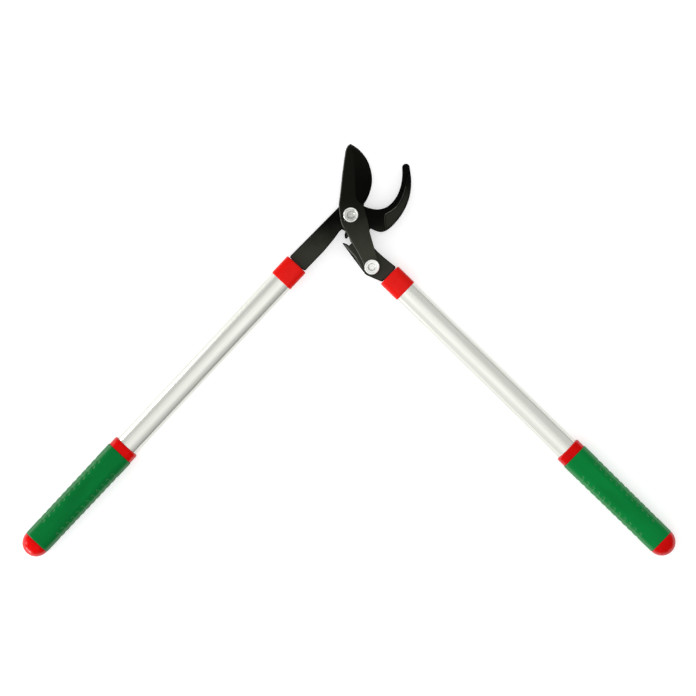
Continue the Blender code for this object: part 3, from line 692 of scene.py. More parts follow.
@dataclass(frozen=True)
class Oval:
    """A rounded section across a handle, between an ellipse and a rectangle.

    The flat is how much height is cut off it above, and again below.
    """

    half_width: float
    half_height: float
    roundness: float
    flat: float = 0.0

    def grown(self, side: float, face: float | None = None) -> "Oval":
        """The same section with this much more on its sides, and on its faces if that differs."""
        rise = side if face is None else face
        return Oval(self.half_width + side, self.half_height + rise, self.roundness, self.flat)

    def scaled(self, share: float) -> "Oval":
        """The same section at a share of its size."""
        return Oval(self.half_width * share, self.half_height * share, self.roundness, self.flat * share)

    def point(self, turn: float) -> Vector:
        """Find the section's edge in one direction.

        Args:
            turn: the direction's angle in radians, from the handle's side.

        Returns:
            The point on the edge.
        """
        across = math.cos(turn)
        rise = math.sin(turn)
        tall = self.half_height + self.flat
        reach = abs(across / self.half_width) ** self.roundness + abs(rise / tall) ** self.roundness
        distance = reach ** (-1.0 / self.roundness)
        height = max(-self.half_height, min(self.half_height, distance * rise))
        return Vector((0.0, distance * across, height))

    def inward(self, turn: float) -> Vector:
        """The direction square into the section at its edge in this direction."""
        ahead = self.point(turn + SLANT_STEP) - self.point(turn - SLANT_STEP)
        return Vector((0.0, -ahead.z, ahead.y)).normalized()

    def at(self, x: float) -> Callable[[float], Vector]:
        """The section at this distance along the handle."""
        return lambda turn: self.point(turn) + Vector((x, 0.0, 0.0))


class Loft:
    """A skin drawn out ring by ring from a circle."""

    def __init__(self, segments: int) -> None:
        """Start with one ring.

        Args:
            segments: the faces round the skin.
        """
        self.form = bmesh.new()
        self.turn = self.form.verts.layers.float.new("turn")
        bmesh.ops.create_circle(self.form, cap_ends=False, radius=1.0, segments=segments)
        for vert in self.form.verts:
            vert[self.turn] = math.atan2(vert.co.y, vert.co.x)
        self.verts = list(self.form.verts)
        self.edges = list(self.form.edges)
        self.first = self.edges
        self.placed = False

    def ring(self, section: Callable[[float], Vector]) -> None:
        """Draw the skin out by one ring.

        Args:
            section: gives the new ring's point at each angle.
        """
        if self.placed:
            made = bmesh.ops.extrude_edge_only(self.form, edges=self.edges)["geom"]
            self.verts = [item for item in made if isinstance(item, bmesh.types.BMVert)]
            new = set(self.verts)
            edges = [item for item in made if isinstance(item, bmesh.types.BMEdge)]
            self.edges = [edge for edge in edges if new.issuperset(edge.verts)]
        for vert in self.verts:
            vert.co = section(vert[self.turn])
        self.placed = True

    def capped(self) -> bmesh.types.BMesh:
        """Close both ends.

        Returns:
            The closed form.
        """
        for edges in (self.first, self.edges):
            bmesh.ops.contextual_create(self.form, geom=edges)
        bmesh.ops.recalc_face_normals(self.form, faces=self.form.faces)
        return self.form

    def joined(self) -> bmesh.types.BMesh:
        """Join the last ring to the first.

        Returns:
            The closed form.
        """
        bmesh.ops.bridge_loops(self.form, edges=self.first + self.edges)
        bmesh.ops.recalc_face_normals(self.form, faces=self.form.faces)
        return self.form


def quarter_turn(steps: int) -> list[float]:
    """The angles from 0 to a right angle in this many steps."""
    return [math.pi / 2.0 * number / steps for number in range(steps + 1)]


def turned(profile: Sequence[tuple[float, float]], steps: int, closed: bool = False) -> bmesh.types.BMesh:
    """Turn a piece on a lathe.

    Args:
        profile: radii and heights, from axis to axis, or round a ring's section.
        steps: faces round the piece.
        closed: whether the profile's end joins its start.

    Returns:
        The turned form.
    """
    form = bmesh.new()
    verts = [form.verts.new((radius, 0.0, height)) for radius, height in profile]
    pairs = list(zip(verts, verts[1:]))
    if closed:
        pairs.append((verts[-1], verts[0]))
    edges = [form.edges.new(pair) for pair in pairs]
    bmesh.ops.spin(form, geom=verts + edges, cent=(0.0, 0.0, 0.0), axis=(0.0, 0.0, 1.0),
                   dvec=(0.0, 0.0, 0.0), angle=2.0 * math.pi, steps=steps, use_merge=True)
    bmesh.ops.remove_doubles(form, verts=form.verts, dist=MERGE_DISTANCE)
    bmesh.ops.recalc_face_normals(form, faces=form.faces)
    return form


def hexagon(corner: float, turn: float, bottom: float, top: float) -> bmesh.types.BMesh:
    """Make an upright hexagonal prism round the Z axis.

    Args:
        corner: from the axis to its corners.
        turn: how far it is turned, in degrees.
        bottom: the height of its foot.
        top: the height of its top.

    Returns:
        The prism.
    """
    form = bmesh.new()
    bmesh.ops.create_circle(form, cap_ends=True, radius=corner, segments=6)
    bmesh.ops.translate(form, verts=form.verts, vec=(0.0, 0.0, bottom))
    made = bmesh.ops.extrude_face_region(form, geom=list(form.faces))["geom"]
    lifted = [item for item in made if isinstance(item, bmesh.types.BMVert)]
    bmesh.ops.translate(form, verts=lifted, vec=(0.0, 0.0, top - bottom))
    bmesh.ops.recalc_face_normals(form, faces=form.faces)
    form.transform(Matrix.Rotation(math.radians(turn), 4, "Z"))
    return form


def block(low: Sequence[float], high: Sequence[float]) -> bmesh.types.BMesh:
    """Make a box for cutting.

    Args:
        low: its lowest corner.
        high: its highest corner.

    Returns:
        The box.
    """
    form = bmesh.new()
    bmesh.ops.create_cube(form, size=1.0)
    centre = (Vector(low) + Vector(high)) / 2.0
    size = Vector(high) - Vector(low)
    form.transform(Matrix.Translation(centre) @ Matrix.Diagonal((*size, 1.0)))
    return form


def put_down(name: str, form: bmesh.types.BMesh) -> bpy.types.Object:
    """Put a form into the scene.

    Args:
        name: the name of its object and mesh.
        form: the form, which is freed.

    Returns:
        The new object.
    """
    mesh = bpy.data.meshes.new(name)
    form.to_mesh(mesh)
    form.free()
    holder = bpy.data.objects.new(name, mesh)
    bpy.context.scene.collection.objects.link(holder)
    return holder


def carved(form: bmesh.types.BMesh, other: bmesh.types.BMesh, carving: Carving) -> bmesh.types.BMesh:
    """Carve one form with another.

    Args:
        form: the form that is kept.
        other: the form that cuts it.
        carving: what the second does to the first.

    Returns:
        The carved form. Both forms handed in are freed.
    """
    holders = [put_down("carving", shape) for shape in (form, other)]
    modifier = holders[0].modifiers.new("carving", "BOOLEAN")
    modifier.solver = "EXACT"
    modifier.operation = carving.value
    modifier.object = holders[1]
    result = bmesh.new()
    result.from_object(holders[0], bpy.context.evaluated_depsgraph_get())
    for holder in holders:
        mesh = holder.data
        bpy.data.objects.remove(holder)
        bpy.data.meshes.remove(mesh)
    return result


def add_piece(name: str, form: bmesh.types.BMesh, material: bpy.types.Material, body: Body,
              nodes: Iterable[str], sharp_angle: float = 40.0) -> None:
    """Make a form a finished piece of the tool.

    Args:
        name: the piece's name.
        form: its form, in the tool's frame.
        material: its material.
        body: the group it moves with.
        nodes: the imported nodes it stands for.
        sharp_angle: edges sharper than this, in degrees, stay crisp.
    """
    piece = put_down(name, form)
    mesh = piece.data
    mesh.shade_smooth()
    mesh.set_sharp_from_angle(angle=math.radians(sharp_angle))
    mesh.materials.append(material)
    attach(piece, body.value)
    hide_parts(*nodes)
    LOG.info("%s: %d faces", name, len(mesh.polygons))


def redress(node: str, material: bpy.types.Material) -> None:
    """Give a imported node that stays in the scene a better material.

    Args:
        node: the node's name.
        material: its new material.
    """
    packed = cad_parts[node]
    for slot in packed.material_slots:
        slot.link = "OBJECT"
        slot.material = material
    LOG.info("%s: kept, with %s", node, material.name)


@dataclass
class ForgedPlate:
    """One forged plate, with its edges rounded and its faces marked for painted highlight, for painted shade
    in deep black, and as raised.

    The level is the height of its flat top. A facing is how far a face's normal turns that way.
    """

    node: str
    body: Body
    coating: BlackCoating
    edge_round: float
    crease: float = 25.0
    border: float = 0.0006
    # The share of painted highlight on the border's left side, towards the light; 0 paints the border deep
    # black instead.
    left_highlight: float = 0.0
    round_steps: int = 4
    round_above: float = 0.0
    level: float = 0.0175
    flat_angle: float = 0.5
    flat_facing: float = 0.9999
    slope_facing: float = 0.3
    left_facing: float = -0.02

    def merged(self) -> bmesh.types.BMesh:
        """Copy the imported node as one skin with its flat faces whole.

        Returns:
            The copy.
        """
        form = bmesh.new()
        form.from_mesh(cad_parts[self.node].data)
        bmesh.ops.remove_doubles(form, verts=form.verts, dist=MERGE_DISTANCE)
        bmesh.ops.dissolve_limit(form, angle_limit=math.radians(self.flat_angle), verts=form.verts,
                                 edges=form.edges, use_dissolve_boundaries=False)
        return form

    def edges(self, form: bmesh.types.BMesh) -> list[bmesh.types.BMEdge]:
        """Find the edges to round: high enough, and where the skin turns outwards sharply.

        Args:
            form: the plate's form.

        Returns:
            Those edges.
        """
        limit = math.radians(self.crease)
        return [edge for edge in form.edges
                if edge.is_manifold and edge.calc_face_angle_signed() > limit
                and all(vert.co.z > self.round_above for vert in edge.verts)]

    def marked(self, form: bmesh.types.BMesh) -> None:
        """Mark the sloping faces deep black, as painted shade, and those above the plate's level raised.

        Args:
            form: the plate's form.
        """
        for name in ("painted_highlight", "deep", "raised"):
            form.faces.layers.float.new(name)
        deep = form.faces.layers.float["deep"]
        raised = form.faces.layers.float["raised"]
        form.normal_update()
        for face in form.faces:
            if self.slope_facing < face.normal.z < self.flat_facing:
                face[deep] = 1.0
            if face.calc_center_median().z > self.level + MERGE_DISTANCE:
                face[raised] = 1.0

    def bordered(self, form: bmesh.types.BMesh) -> None:
        """Part off a narrow border inside the rounded edges of the flat top.

        It is deep black as painted shade, or on a plate with a left highlight it takes a painted highlight
        along the left side, towards the light.

        Args:
            form: the plate's form.
        """
        painted_highlight = form.faces.layers.float["painted_highlight"]
        deep = form.faces.layers.float["deep"]
        tops = [face for face in form.faces if face.normal.z > self.flat_facing
                and face.calc_center_median().z > self.level - MERGE_DISTANCE]
        made = bmesh.ops.inset_region(form, faces=tops, thickness=self.border, use_boundary=True,
                                      use_even_offset=True)
        form.normal_update()
        for face in made["faces"]:
            beside = [other.normal.x for edge in face.edges for other in edge.link_faces
                      if other.normal.z < self.flat_facing]
            # Painted shade all round the border, or a painted highlight beside the faces that turn left,
            # towards the light.
            if not self.left_highlight:
                face[deep] = 1.0
            elif beside and min(beside) < self.left_facing:
                face[painted_highlight] = self.left_highlight

    def form(self) -> bmesh.types.BMesh:
        """Round, mark and border the plate.

        Returns:
            The finished form.
        """
        form = self.merged()
        self.marked(form)
        painted_highlight = form.faces.layers.float["painted_highlight"]
        deep = form.faces.layers.float["deep"]
        made = bmesh.ops.bevel(form, geom=self.edges(form), offset=self.edge_round, offset_type="OFFSET",
                               segments=self.round_steps, profile=0.5, affect="EDGES", material=-1,
                               clamp_overlap=True)
        form.normal_update()
        # The rounded edges take painted shade.
        for face in made["faces"]:
            face[painted_highlight] = 0.0
            face[deep] = 1.0
        self.bordered(form)
        # The border leaves a few triangles without area in its sharpest corners.
        bmesh.ops.triangulate(form, faces=form.faces)
        bmesh.ops.dissolve_degenerate(form, dist=MERGE_DISTANCE, edges=form.edges)
        return form

    def build(self) -> None:
        """Build and dress the plate."""
        add_piece(f"{self.node}_forging", self.form(), self.coating.material(), self.body,
                  [self.node])


@dataclass
class HookPlate(ForgedPlate):
    """The plate with the hook and the left tang: its rim's slope catches the light."""

    node: str = "hook_plate"
    body: Body = Body.HOOK_SIDE
    coating: BlackCoating = HOOK_COATING
    edge_round: float = 0.0003
    # Painted highlights on the rim's slope: stronger on the heel side of this Y, weaker beyond it.
    rim_heel_highlight: float = 0.45
    rim_highlight: float = 0.12
    rim_heel_y: float = 0.0125
    light_facing: float = 0.2

    def marked(self, form: bmesh.types.BMesh) -> None:
        """Mark a painted highlight on the rim's slope where it turns towards the light, strongest near its
        heel.

        Args:
            form: the plate's form.
        """
        super().marked(form)
        painted_highlight = form.faces.layers.float["painted_highlight"]
        deep = form.faces.layers.float["deep"]
        for face in form.faces:
            middle = face.calc_center_median()
            # Faces on the rim's slope lose their painted shade and take a painted highlight where they face
            # the light.
            if face[deep] and middle.z > self.level + MERGE_DISTANCE:
                lit = self.rim_heel_highlight if middle.y < self.rim_heel_y else self.rim_highlight
                face[painted_highlight] = lit if face.normal.y > self.light_facing else 0.0
                face[deep] = 0.0


def plates() -> tuple[ForgedPlate, ...]:
    """The hook plate, the blade with its arm and the lever plate."""
    blade_top = 0.0223
    return (
        HookPlate(),
        ForgedPlate("blade", Body.BLADE_SIDE, BLADE_COATING, edge_round=0.0011, border=0.0010, left_highlight=0.75,
                    round_above=blade_top - MERGE_DISTANCE, level=blade_top),
        ForgedPlate("lever_plate", Body.LEVER_SIDE, LEVER_COATING, edge_round=0.0003),
    )


@dataclass
class PivotFastener:
    """A pivot's bolt, washer and lock nut."""

    pivot: Pivot
    body: Body
    socket_turn: float
    finish: BrightZinc
    steps: int = 96
    bolt_radius: float = 0.005
    end_chamfer: float = 0.0004
    head_radius: float = 0.0097
    head_bottom: float = 0.0226
    head_top: float = 0.027
    head_round: float = 0.0009
    head_round_steps: int = 6
    rim_width: float = 0.0017
    dish_depth: float = 0.00045
    dish_shares: tuple[float, ...] = (0.0, 0.15, 0.4, 0.7, 1.0)
    sink_radius: float = 0.0049
    sink_depth: float = 0.0009
    sink_lip: float = 1.1
    socket_corner: float = 0.0038
    socket_depth: float = 0.0026
    cutter_rise: float = 1.1
    washer_radius: float = 0.010
    washer_bottom: float = 0.0087
    washer_top: float = 0.0102
    hole_radius: float = 0.0053
    edge_round: float = 0.0003
    nut_corner: float = 0.00981
    nut_bottom: float = 0.0004
    nut_top: float = 0.0084
    nut_shoulder: float = 0.0026
    nut_chamfer: float = 0.0007
    nut_blank: float = 1.02
    nut_face: float = 0.87
    crimp_radius: float = 0.0080
    crimp_lip: float = 0.0070
    ring_outer: float = 0.0067
    ring_inner: float = 0.0053
    ring_top: float = 0.0024
    sharp_angle: float = 30.0

    def bolt(self) -> bmesh.types.BMesh:
        """Make a bolt with a broad rimmed head, a shallow dish and a hexagon socket.

        Returns:
            The bolt.
        """
        rim = self.head_radius - self.rim_width
        profile = [
            (0.0, 0.0),
            (self.bolt_radius - self.end_chamfer, 0.0),
            (self.bolt_radius, self.end_chamfer),
            (self.bolt_radius, self.head_bottom),
            (self.head_radius - self.edge_round, self.head_bottom),
            (self.head_radius, self.head_bottom + self.edge_round),
        ]
        for angle in quarter_turn(self.head_round_steps):
            profile.append((self.head_radius - self.head_round * (1.0 - math.cos(angle)),
                            self.head_top - self.head_round * (1.0 - math.sin(angle))))
        for share in self.dish_shares:
            drop = self.dish_depth * (3.0 * share ** 2 - 2.0 * share ** 3)
            profile.append((rim - self.dish_depth * share, self.head_top - drop))
        sink = self.head_top - self.dish_depth - self.sink_depth
        profile += [
            (self.sink_radius + self.edge_round, self.head_top - self.dish_depth),
            (self.sink_radius, self.head_top - self.dish_depth * self.sink_lip),
            (self.sink_radius - self.sink_depth, sink),
            (0.0, sink - self.edge_round),
        ]
        form = turned(profile, self.steps)
        socket = hexagon(self.socket_corner, self.socket_turn, self.head_top - self.socket_depth,
                         self.head_top * self.cutter_rise)
        return carved(form, socket, Carving.CUT)

    def washer(self) -> bmesh.types.BMesh:
        """Make a plain washer with its edges rolled.

        Returns:
            The washer.
        """
        roll = self.edge_round
        low = self.washer_bottom
        high = self.washer_top
        profile = [
            (self.hole_radius, low + roll), (self.hole_radius + roll, low),
            (self.washer_radius - roll, low), (self.washer_radius, low + roll),
            (self.washer_radius, high - roll), (self.washer_radius - roll, high),
            (self.hole_radius + roll, high), (self.hole_radius, high - roll),
        ]
        return turned(profile, self.steps, closed=True)

    def nut(self) -> bmesh.types.BMesh:
        """Make a lock nut: a chamfered hexagon and a crimped collar round the nylon ring's seat.

        Returns:
            The nut.
        """
        wide = self.nut_corner * self.nut_blank
        slope = self.nut_chamfer
        seat = self.ring_top + self.edge_round
        profile = [
            (self.crimp_lip, self.nut_bottom),
            (self.crimp_lip + slope / 2.0, self.nut_bottom),
            (self.crimp_radius, self.nut_bottom + slope),
            (self.crimp_radius, self.nut_shoulder - self.edge_round),
            (self.crimp_radius + self.edge_round, self.nut_shoulder),
            (wide, self.nut_shoulder + slope),
            (wide, self.nut_top - slope),
            (self.nut_corner * self.nut_face, self.nut_top),
            (self.hole_radius + slope, self.nut_top),
            (self.hole_radius, self.nut_top - slope),
            (self.hole_radius, seat),
            (self.crimp_lip, seat),
        ]
        blank = turned(profile, self.steps, closed=True)
        flats = hexagon(self.nut_corner, self.socket_turn, self.nut_bottom - slope, self.nut_top + slope)
        return carved(blank, flats, Carving.KEEP_COMMON)

    def ring(self) -> bmesh.types.BMesh:
        """Make the nylon ring that grips the bolt's end.

        Returns:
            The ring.
        """
        roll = self.edge_round
        low = self.nut_bottom
        profile = [
            (self.ring_inner, low + 2.0 * roll), (self.ring_inner + roll, low + roll / 2.0),
            (self.ring_outer - roll, low + roll / 2.0), (self.ring_outer, low + 2.0 * roll),
            (self.ring_outer, self.ring_top), (self.ring_inner, self.ring_top),
        ]
        return turned(profile, self.steps, closed=True)

    def build(self, nylon: bpy.types.Material) -> None:
        """Build and dress the four pieces round their pivot.

        Args:
            nylon: the ring's material.
        """
        zinc = self.finish.material(self.pivot)
        shift = Matrix.Translation(self.pivot.point)
        pieces = (
            ("bolt", self.bolt(), zinc, Slot.BRIGHT_STEEL),
            ("washer", self.washer(), zinc, Slot.BRIGHT_STEEL),
            ("nut", self.nut(), zinc, Slot.BRIGHT_STEEL),
            ("nut_ring", self.ring(), nylon, Slot.GREY_NYLON),
        )
        for part, form, material, slot in pieces:
            form.transform(shift)
            node = f"{self.pivot.name}_{part}"
            add_piece(f"{node}_finished", form, material, self.body, [node], self.sharp_angle)


@dataclass
class Handle:
    """One handle: collar, tube, the plug and pins inside it, and the grip."""

    place: HandlePlace
    soft: GreenSoftGrip
    segments: int = 128
    gap: float = 0.0003
    tube: Oval = Oval(0.015, 0.010, 2.2)
    tube_wall: float = 0.0015
    tube_start: float = 0.0033
    collar_length: float = 0.030
    collar_wall: float = 0.0010
    collar_roundness: float = 3.2
    collar_end_wall: float = 0.003
    collar_end_round: float = 0.0020
    collar_mouth_round: float = 0.0009
    collar_mouth_run: float = 0.0018
    edge_steps: int = 6
    slot_half_width: float = 0.01
    slot_half_height: float = 0.0038
    ring_start: float = 0.323
    ring_length: float = 0.0133
    ring_step: float = 0.0008
    ring_scoop: float = 0.0008
    ring_round: float = 0.0024
    ring_round_steps: int = 4
    core_wall: float = 0.0015
    sleeve_length: float = 0.1586
    sleeve: Oval = Oval(0.01915, 0.0140, 2.6, 0.0005)
    sleeve_taper: float = 0.0007
    sleeve_step: float = 0.0008
    sleeve_round: float = 0.0005
    rib_count: int = 12
    rib_pitch: float = 0.0095
    rib_half_width: float = 0.0026
    rib_end_run: float = 0.0013
    rib_depth: float = 0.0009
    rib_shallowing: float = 0.45
    rib_fullness: float = 1.2
    panel_half_width: float = 0.0110
    sleeve_segments: int = 192
    dome_length: float = 0.01895
    dome_steps: int = 18
    dome_lead: float = 0.3

    @property
    def sleeve_start(self) -> float:
        """Where the soft sleeve starts."""
        return self.ring_start + self.ring_length

    @property
    def dome_start(self) -> float:
        """Where the domed end starts."""
        return self.sleeve_start + self.sleeve_length

    def quarter(self, loft: Loft, oval: Oval, x: float, radius: float, length: float,
                rising: bool) -> None:
        """Draw a loft round a moulded edge.

        Args:
            loft: the skin being drawn out.
            oval: the section beyond the edge.
            x: where the edge starts along the handle.
            radius: how far the edge drops.
            length: how far it runs along the handle.
            rising: whether the skin grows to the section, and does not shrink from it.
        """
        for angle in quarter_turn(self.edge_steps):
            if rising:
                drop, run = 1.0 - math.sin(angle), 1.0 - math.cos(angle)
            else:
                drop, run = 1.0 - math.cos(angle), math.sin(angle)
            loft.ring(oval.grown(-radius * drop).at(x + length * run))

    def collar_form(self) -> bmesh.types.BMesh:
        """Make a collar with rounded edges, bored for the tube and slotted for the tang.

        Returns:
            The collar.
        """
        grown = self.tube.grown(self.gap + self.collar_wall)
        outer = Oval(grown.half_width, grown.half_height, self.collar_roundness)
        bore = self.tube.grown(self.gap)
        loft = Loft(self.segments)
        self.quarter(loft, outer, 0.0, self.collar_end_round, self.collar_end_round, True)
        mouth = self.collar_length - self.collar_mouth_run
        self.quarter(loft, outer, mouth, self.collar_mouth_round, self.collar_mouth_run, False)
        loft.ring(bore.at(self.collar_length))
        loft.ring(bore.at(self.collar_end_wall))
        slot = block((-self.collar_end_wall, -self.slot_half_width, -self.slot_half_height),
                     (2.0 * self.collar_end_wall, self.slot_half_width, self.slot_half_height))
        return carved(loft.capped(), slot, Carving.CUT)

    def tube_form(self) -> bmesh.types.BMesh:
        """Make the oval tube.

        Returns:
            The tube.
        """
        start = self.tube_start
        end = self.dome_start - self.gap
        bore = self.tube.grown(-self.tube_wall)
        loft = Loft(self.segments)
        for section in (self.tube.at(start), self.tube.at(end), bore.at(end), bore.at(start)):
            loft.ring(section)
        return loft.joined()

    def scoop_at(self, y: float) -> float:
        """How far the ring's edge dips at this distance across the handle."""
        return self.ring_scoop * (1.0 - (y / self.sleeve.half_width) ** 2)

    def scooped(self, oval: Oval, x: float) -> Callable[[float], Vector]:
        """Shape a section whose middle dips away from the collar.

        Args:
            oval: the flat section.
            x: where its sides lie along the handle.

        Returns:
            The dipped section.
        """

        def point(turn: float) -> Vector:
            """The scooped edge at this angle."""
            place = oval.point(turn)
            return place + Vector((x + self.scoop_at(place.y), 0.0, 0.0))

        return point

    def core_form(self) -> bmesh.types.BMesh:
        """Make the hard core: ring, thin sleeve over the tube and domed end.

        Returns:
            The core.
        """
        bore = self.tube.grown(self.gap)
        ring = self.sleeve.grown(-self.ring_step)
        core = bore.grown(self.core_wall)
        dome = self.sleeve.grown(-self.sleeve_taper - self.gap, -self.gap)
        loft = Loft(self.segments)
        loft.ring(bore.at(self.dome_start))
        loft.ring(self.scooped(bore, self.ring_start + self.ring_round))
        loft.ring(self.scooped(bore.grown(self.gap), self.ring_start))
        for angle in quarter_turn(self.ring_round_steps):
            lip = ring.grown(-self.ring_round * (1.0 - math.sin(angle)))
            loft.ring(self.scooped(lip, self.ring_start + self.ring_round * (1.0 - math.cos(angle))))
        loft.ring(ring.at(self.sleeve_start - self.gap))
        loft.ring(ring.grown(-self.gap).at(self.sleeve_start))
        loft.ring(core.at(self.sleeve_start))
        loft.ring(core.at(self.dome_start))
        loft.ring(dome.grown(-self.gap).at(self.dome_start))
        for number in range(self.dome_steps):
            angle = math.pi / 2.0 * (number + self.dome_lead) / self.dome_steps
            loft.ring(dome.scaled(math.cos(angle)).at(self.dome_start + self.dome_length * math.sin(angle)))
        return loft.capped()

    def rib_depth_at(self, x: float, y: float) -> float:
        """Tell how deep the grooves are at a place on the sleeve.

        Args:
            x: the distance along the handle.
            y: the distance across it.

        Returns:
            The depth, 0 beside the grooves.
        """
        first = (self.sleeve_start + self.dome_start - self.rib_pitch * (self.rib_count - 1)) / 2.0
        number = max(0, min(self.rib_count - 1, round((x - first) / self.rib_pitch)))
        along = x - first - number * self.rib_pitch
        short = max(0.0, self.panel_half_width + self.rib_end_run - abs(y))
        distance = math.hypot(along / self.rib_half_width, short / self.rib_end_run)
        if distance >= 1.0:
            return 0.0
        margin = self.sleeve.half_width - self.panel_half_width
        outward = max(0.0, abs(y) - self.panel_half_width) / margin
        deepest = self.rib_depth * (1.0 - self.rib_shallowing * outward)
        return deepest * (1.0 - distance ** 2) ** self.rib_fullness

    def sleeve_section(self, x: float, shrink: float) -> Callable[[float], Vector]:
        """Shape the soft sleeve's section with its grooves.

        Args:
            x: where it lies along the handle.
            shrink: how much smaller it is at the sleeve's rounded ends.

        Returns:
            The grooved section.
        """
        taper = self.sleeve_taper * (x - self.sleeve_start) / self.sleeve_length
        oval = self.sleeve.grown(-taper - shrink, -shrink)

        def point(turn: float) -> Vector:
            """The grooved edge at this angle."""
            place = oval.point(turn)
            return place + oval.inward(turn) * self.rib_depth_at(x, place.y) + Vector((x, 0.0, 0.0))

        return point

    def sleeve_form(self) -> bmesh.types.BMesh:
        """Make the soft sleeve, with a row of round-ended grooves down each side.

        Returns:
            The sleeve.
        """
        start = self.sleeve_start + self.gap
        end = self.dome_start - self.gap
        bore = self.tube.grown(self.core_wall + 2.0 * self.gap)
        loft = Loft(self.sleeve_segments)
        loft.ring(bore.at(end))
        loft.ring(bore.at(start))
        steps = round((end - start) / self.sleeve_step)
        for number in range(steps + 1):
            x = start + (end - start) * number / steps
            edge = max(0.0, 1.0 - min(x - start, end - x) / self.sleeve_round)
            loft.ring(self.sleeve_section(x, self.sleeve_round * edge ** 2))
        return loft.joined()

    def build(self, red: bpy.types.Material, core_red: bpy.types.Material,
              nylon: bpy.types.Material) -> None:
        """Build and dress the handle.

        Args:
            red: the collar's plastic.
            core_red: the grip core's plastic.
            nylon: the hidden plug's material.
        """
        name = self.place.name
        pieces = (
            ("collar", self.collar_form(), red, Slot.RED_PLASTIC),
            ("tube", self.tube_form(), SatinAluminium().material(self.place), Slot.ALUMINIUM),
            ("grip_core", self.core_form(), core_red, Slot.RED_PLASTIC),
            ("grip_sleeve", self.sleeve_form(), self.soft.material(self.place), Slot.GREEN_RUBBER),
        )
        for part, form, material, slot in pieces:
            form.transform(self.place.matrix)
            node = f"{name}_{part}"
            add_piece(f"{node}_finished", form, material, self.place.body, [node])
        redress(f"{name}_tang_insert", nylon)
        zinc = BrightZinc().material(self.place.pivot)
        for number in (1, 2):
            redress(f"{name}_tang_pin_{number}", zinc)


@dataclass(frozen=True)
class SoftLight:
    """A soft box: where it hangs, its size and its power in watts."""

    name: str
    position: tuple[float, float, float]
    width: float
    height: float
    power: float
    aim: tuple[float, float, float] = (0.0, -0.15, 0.0)

    def build(self) -> None:
        """Hang the light and aim it."""
        lamp = bpy.data.lights.new(self.name, "AREA")
        lamp.shape = "RECTANGLE"
        lamp.size = self.width
        lamp.size_y = self.height
        lamp.energy = self.power
        holder = bpy.data.objects.new(self.name, lamp)
        holder.location = self.position
        holder.rotation_euler = (Vector(self.aim) - holder.location).to_track_quat("-Z", "Y").to_euler()
        holder.visible_camera = False
        bpy.context.scene.collection.objects.link(holder)


@dataclass(frozen=True)
class Glow:
    """A soft bright area of the room, or a dark one if its level is below 0.

    The edge and the core are the cosines, from its middle, where it ends and where it is full.
    """

    towards: tuple[float, float, float]
    level: float
    edge: float
    core: float


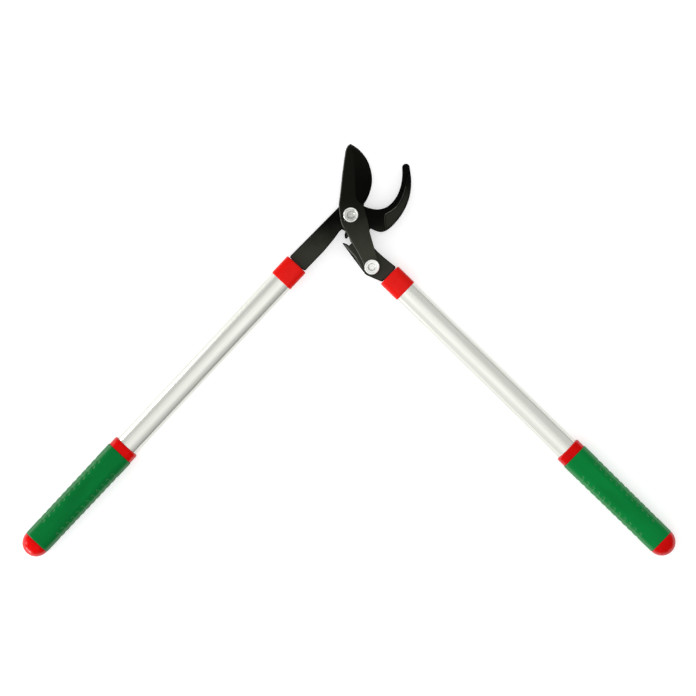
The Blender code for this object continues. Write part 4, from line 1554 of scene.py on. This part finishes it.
@dataclass
class Studio:
    """The camera straight above the tool, the pale floor and the soft lights."""

    camera_centre: tuple[float, float] = (-0.0036, -0.1728)
    lens: float = 250.0
    sensor: float = 36.0
    view_width: float = 0.9048
    focus_height: float = 0.014
    floor_size: float = 40.0
    floor_shade: float = 0.80
    floor_glow: float = 0.48
    floor_tooth: Pattern = Pattern(0.4)
    floor_dimming: float = 0.98
    floor_roughness: float = 0.8
    ambient: float = 0.43
    glows: tuple[Glow, ...] = (
        Glow((0.0, -0.12, 1.0), 0.20, 0.72, 1.0),
        Glow((-0.62, -0.60, 0.50), 0.50, 0.15, 0.95),
        Glow((-0.80, 0.58, 0.10), 0.40, 0.60, 1.0),
        Glow((-0.80, 0.60, 0.02), 0.30, 0.88, 1.0),
        Glow((-0.72, -0.70, 0.02), 0.15, 0.90, 1.0),
        Glow((0.72, 0.62, 0.30), 0.33, 0.30, 1.0),
        Glow((0.80, -0.50, 0.55), 0.10, 0.30, 1.0),
        Glow((0.73, -0.68, 0.0), -0.24, 0.84, 0.97),
        Glow((0.70, 0.71, 0.0), -0.24, 0.84, 0.97),
    )
    lights: tuple[SoftLight, ...] = (
        SoftLight("overhead_soft_box", (0.0, -0.20, 2.3), 1.5, 1.5, 1.2),
        SoftLight("middle_soft_box", (0.0, -0.22, 0.9), 0.45, 0.45, 0.11, (0.0, -0.22, 0.0)),
        SoftLight("left_soft_box", (-1.9, -0.70, 0.65), 0.55, 0.40, 13.0),
        SoftLight("left_low_box", (-1.02, 0.28, 0.38), 0.28, 0.36, 1.3, (-0.27, -0.28, 0.0)),
        SoftLight("grip_end_box", (-0.76, -0.74, 0.075), 0.12, 0.08, 0.6, (-0.417, -0.429, 0.014)),
    )

    def build_camera(self) -> None:
        """Place the camera, looking straight down."""
        data = bpy.data.cameras.new("camera")
        data.lens = self.lens
        data.sensor_width = self.sensor
        camera = bpy.data.objects.new("camera", data)
        rise = self.view_width * self.lens / self.sensor
        camera.location = (*self.camera_centre, self.focus_height + rise)
        bpy.context.scene.collection.objects.link(camera)
        bpy.context.scene.camera = camera

    def build_floor(self) -> None:
        """Lay a pale floor that shows white to the camera and keeps the tool's shadow."""
        form = bmesh.new()
        bmesh.ops.create_grid(form, x_segments=1, y_segments=1, size=self.floor_size / 2.0)
        floor = put_down("floor", form)
        graph = Graph.finish("pale_floor")
        camera = graph.node("ShaderNodeLightPath", {}, {}, "Is Camera Ray")
        glossy = graph.node("ShaderNodeLightPath", {}, {}, "Is Glossy Ray")
        clear = graph.node("ShaderNodeLightPath", {}, {}, "Is Transmission Ray")
        tooth = graph.noise(graph.place(), self.floor_tooth)
        darker = self.floor_shade * self.floor_dimming
        graph.dress({
            "Base Color": graph.mixed(tooth, (self.floor_shade,) * 3, (darker,) * 3),
            "Roughness": self.floor_roughness,
            "Specular IOR Level": 0.0,
        })
        strength = (camera + glossy + clear) * self.floor_glow
        glow = graph.node("ShaderNodeEmission", {}, {"Color": WHITE, "Strength": strength})
        both = graph.node("ShaderNodeAddShader", {}, {0: Wire(graph, graph.shader.outputs[0]), 1: glow})
        graph.tree.links.new(both.socket, graph.tree.nodes["Material Output"].inputs["Surface"])
        floor.data.materials.append(graph.block)

    def build_world(self) -> None:
        """Light the room by its glows."""
        world = bpy.data.worlds.new("studio")
        bpy.context.scene.world = world
        graph = Graph(world, "Background")
        way = graph.node("ShaderNodeTexCoord", {}, {}, "Generated")
        level: Wire | float = self.ambient
        for glow in self.glows:
            facing = graph.node("ShaderNodeVectorMath", {"operation": "DOT_PRODUCT"},
                                {0: way, 1: Vector(glow.towards).normalized()}, "Value")
            level = level + facing.step(glow.edge, glow.core) * glow.level
        graph.dress({"Strength": level, "Color": WHITE})

    def build(self) -> None:
        """Set up the whole studio."""
        bpy.context.scene.view_settings.view_transform = "Standard"
        self.build_camera()
        self.build_floor()
        self.build_world()
        for light in self.lights:
            light.build()


def main() -> None:
    """Build the studio and dress the tool, group by group."""
    logging.basicConfig(level=logging.INFO, format="%(message)s")
    Studio().build()
    nylon = GreyNylon().material()
    red = COLLAR_RED.material()
    core_red = GRIP_RED.material()
    for plate in plates():
        plate.build()
    PivotFastener(MAIN_PIVOT, Body.HOOK_SIDE, socket_turn=12.0, finish=MAIN_ZINC).build(nylon)
    PivotFastener(LINK_PIVOT, Body.BLADE_SIDE, socket_turn=40.0, finish=LINK_ZINC).build(nylon)
    Handle(LEFT_HANDLE, LEFT_RUBBER).build(red, core_red, nylon)
    Handle(RIGHT_HANDLE, RIGHT_RUBBER_PAINTED_LIGHTER).build(red, core_red, nylon)


if __name__ == "__main__":
    main()
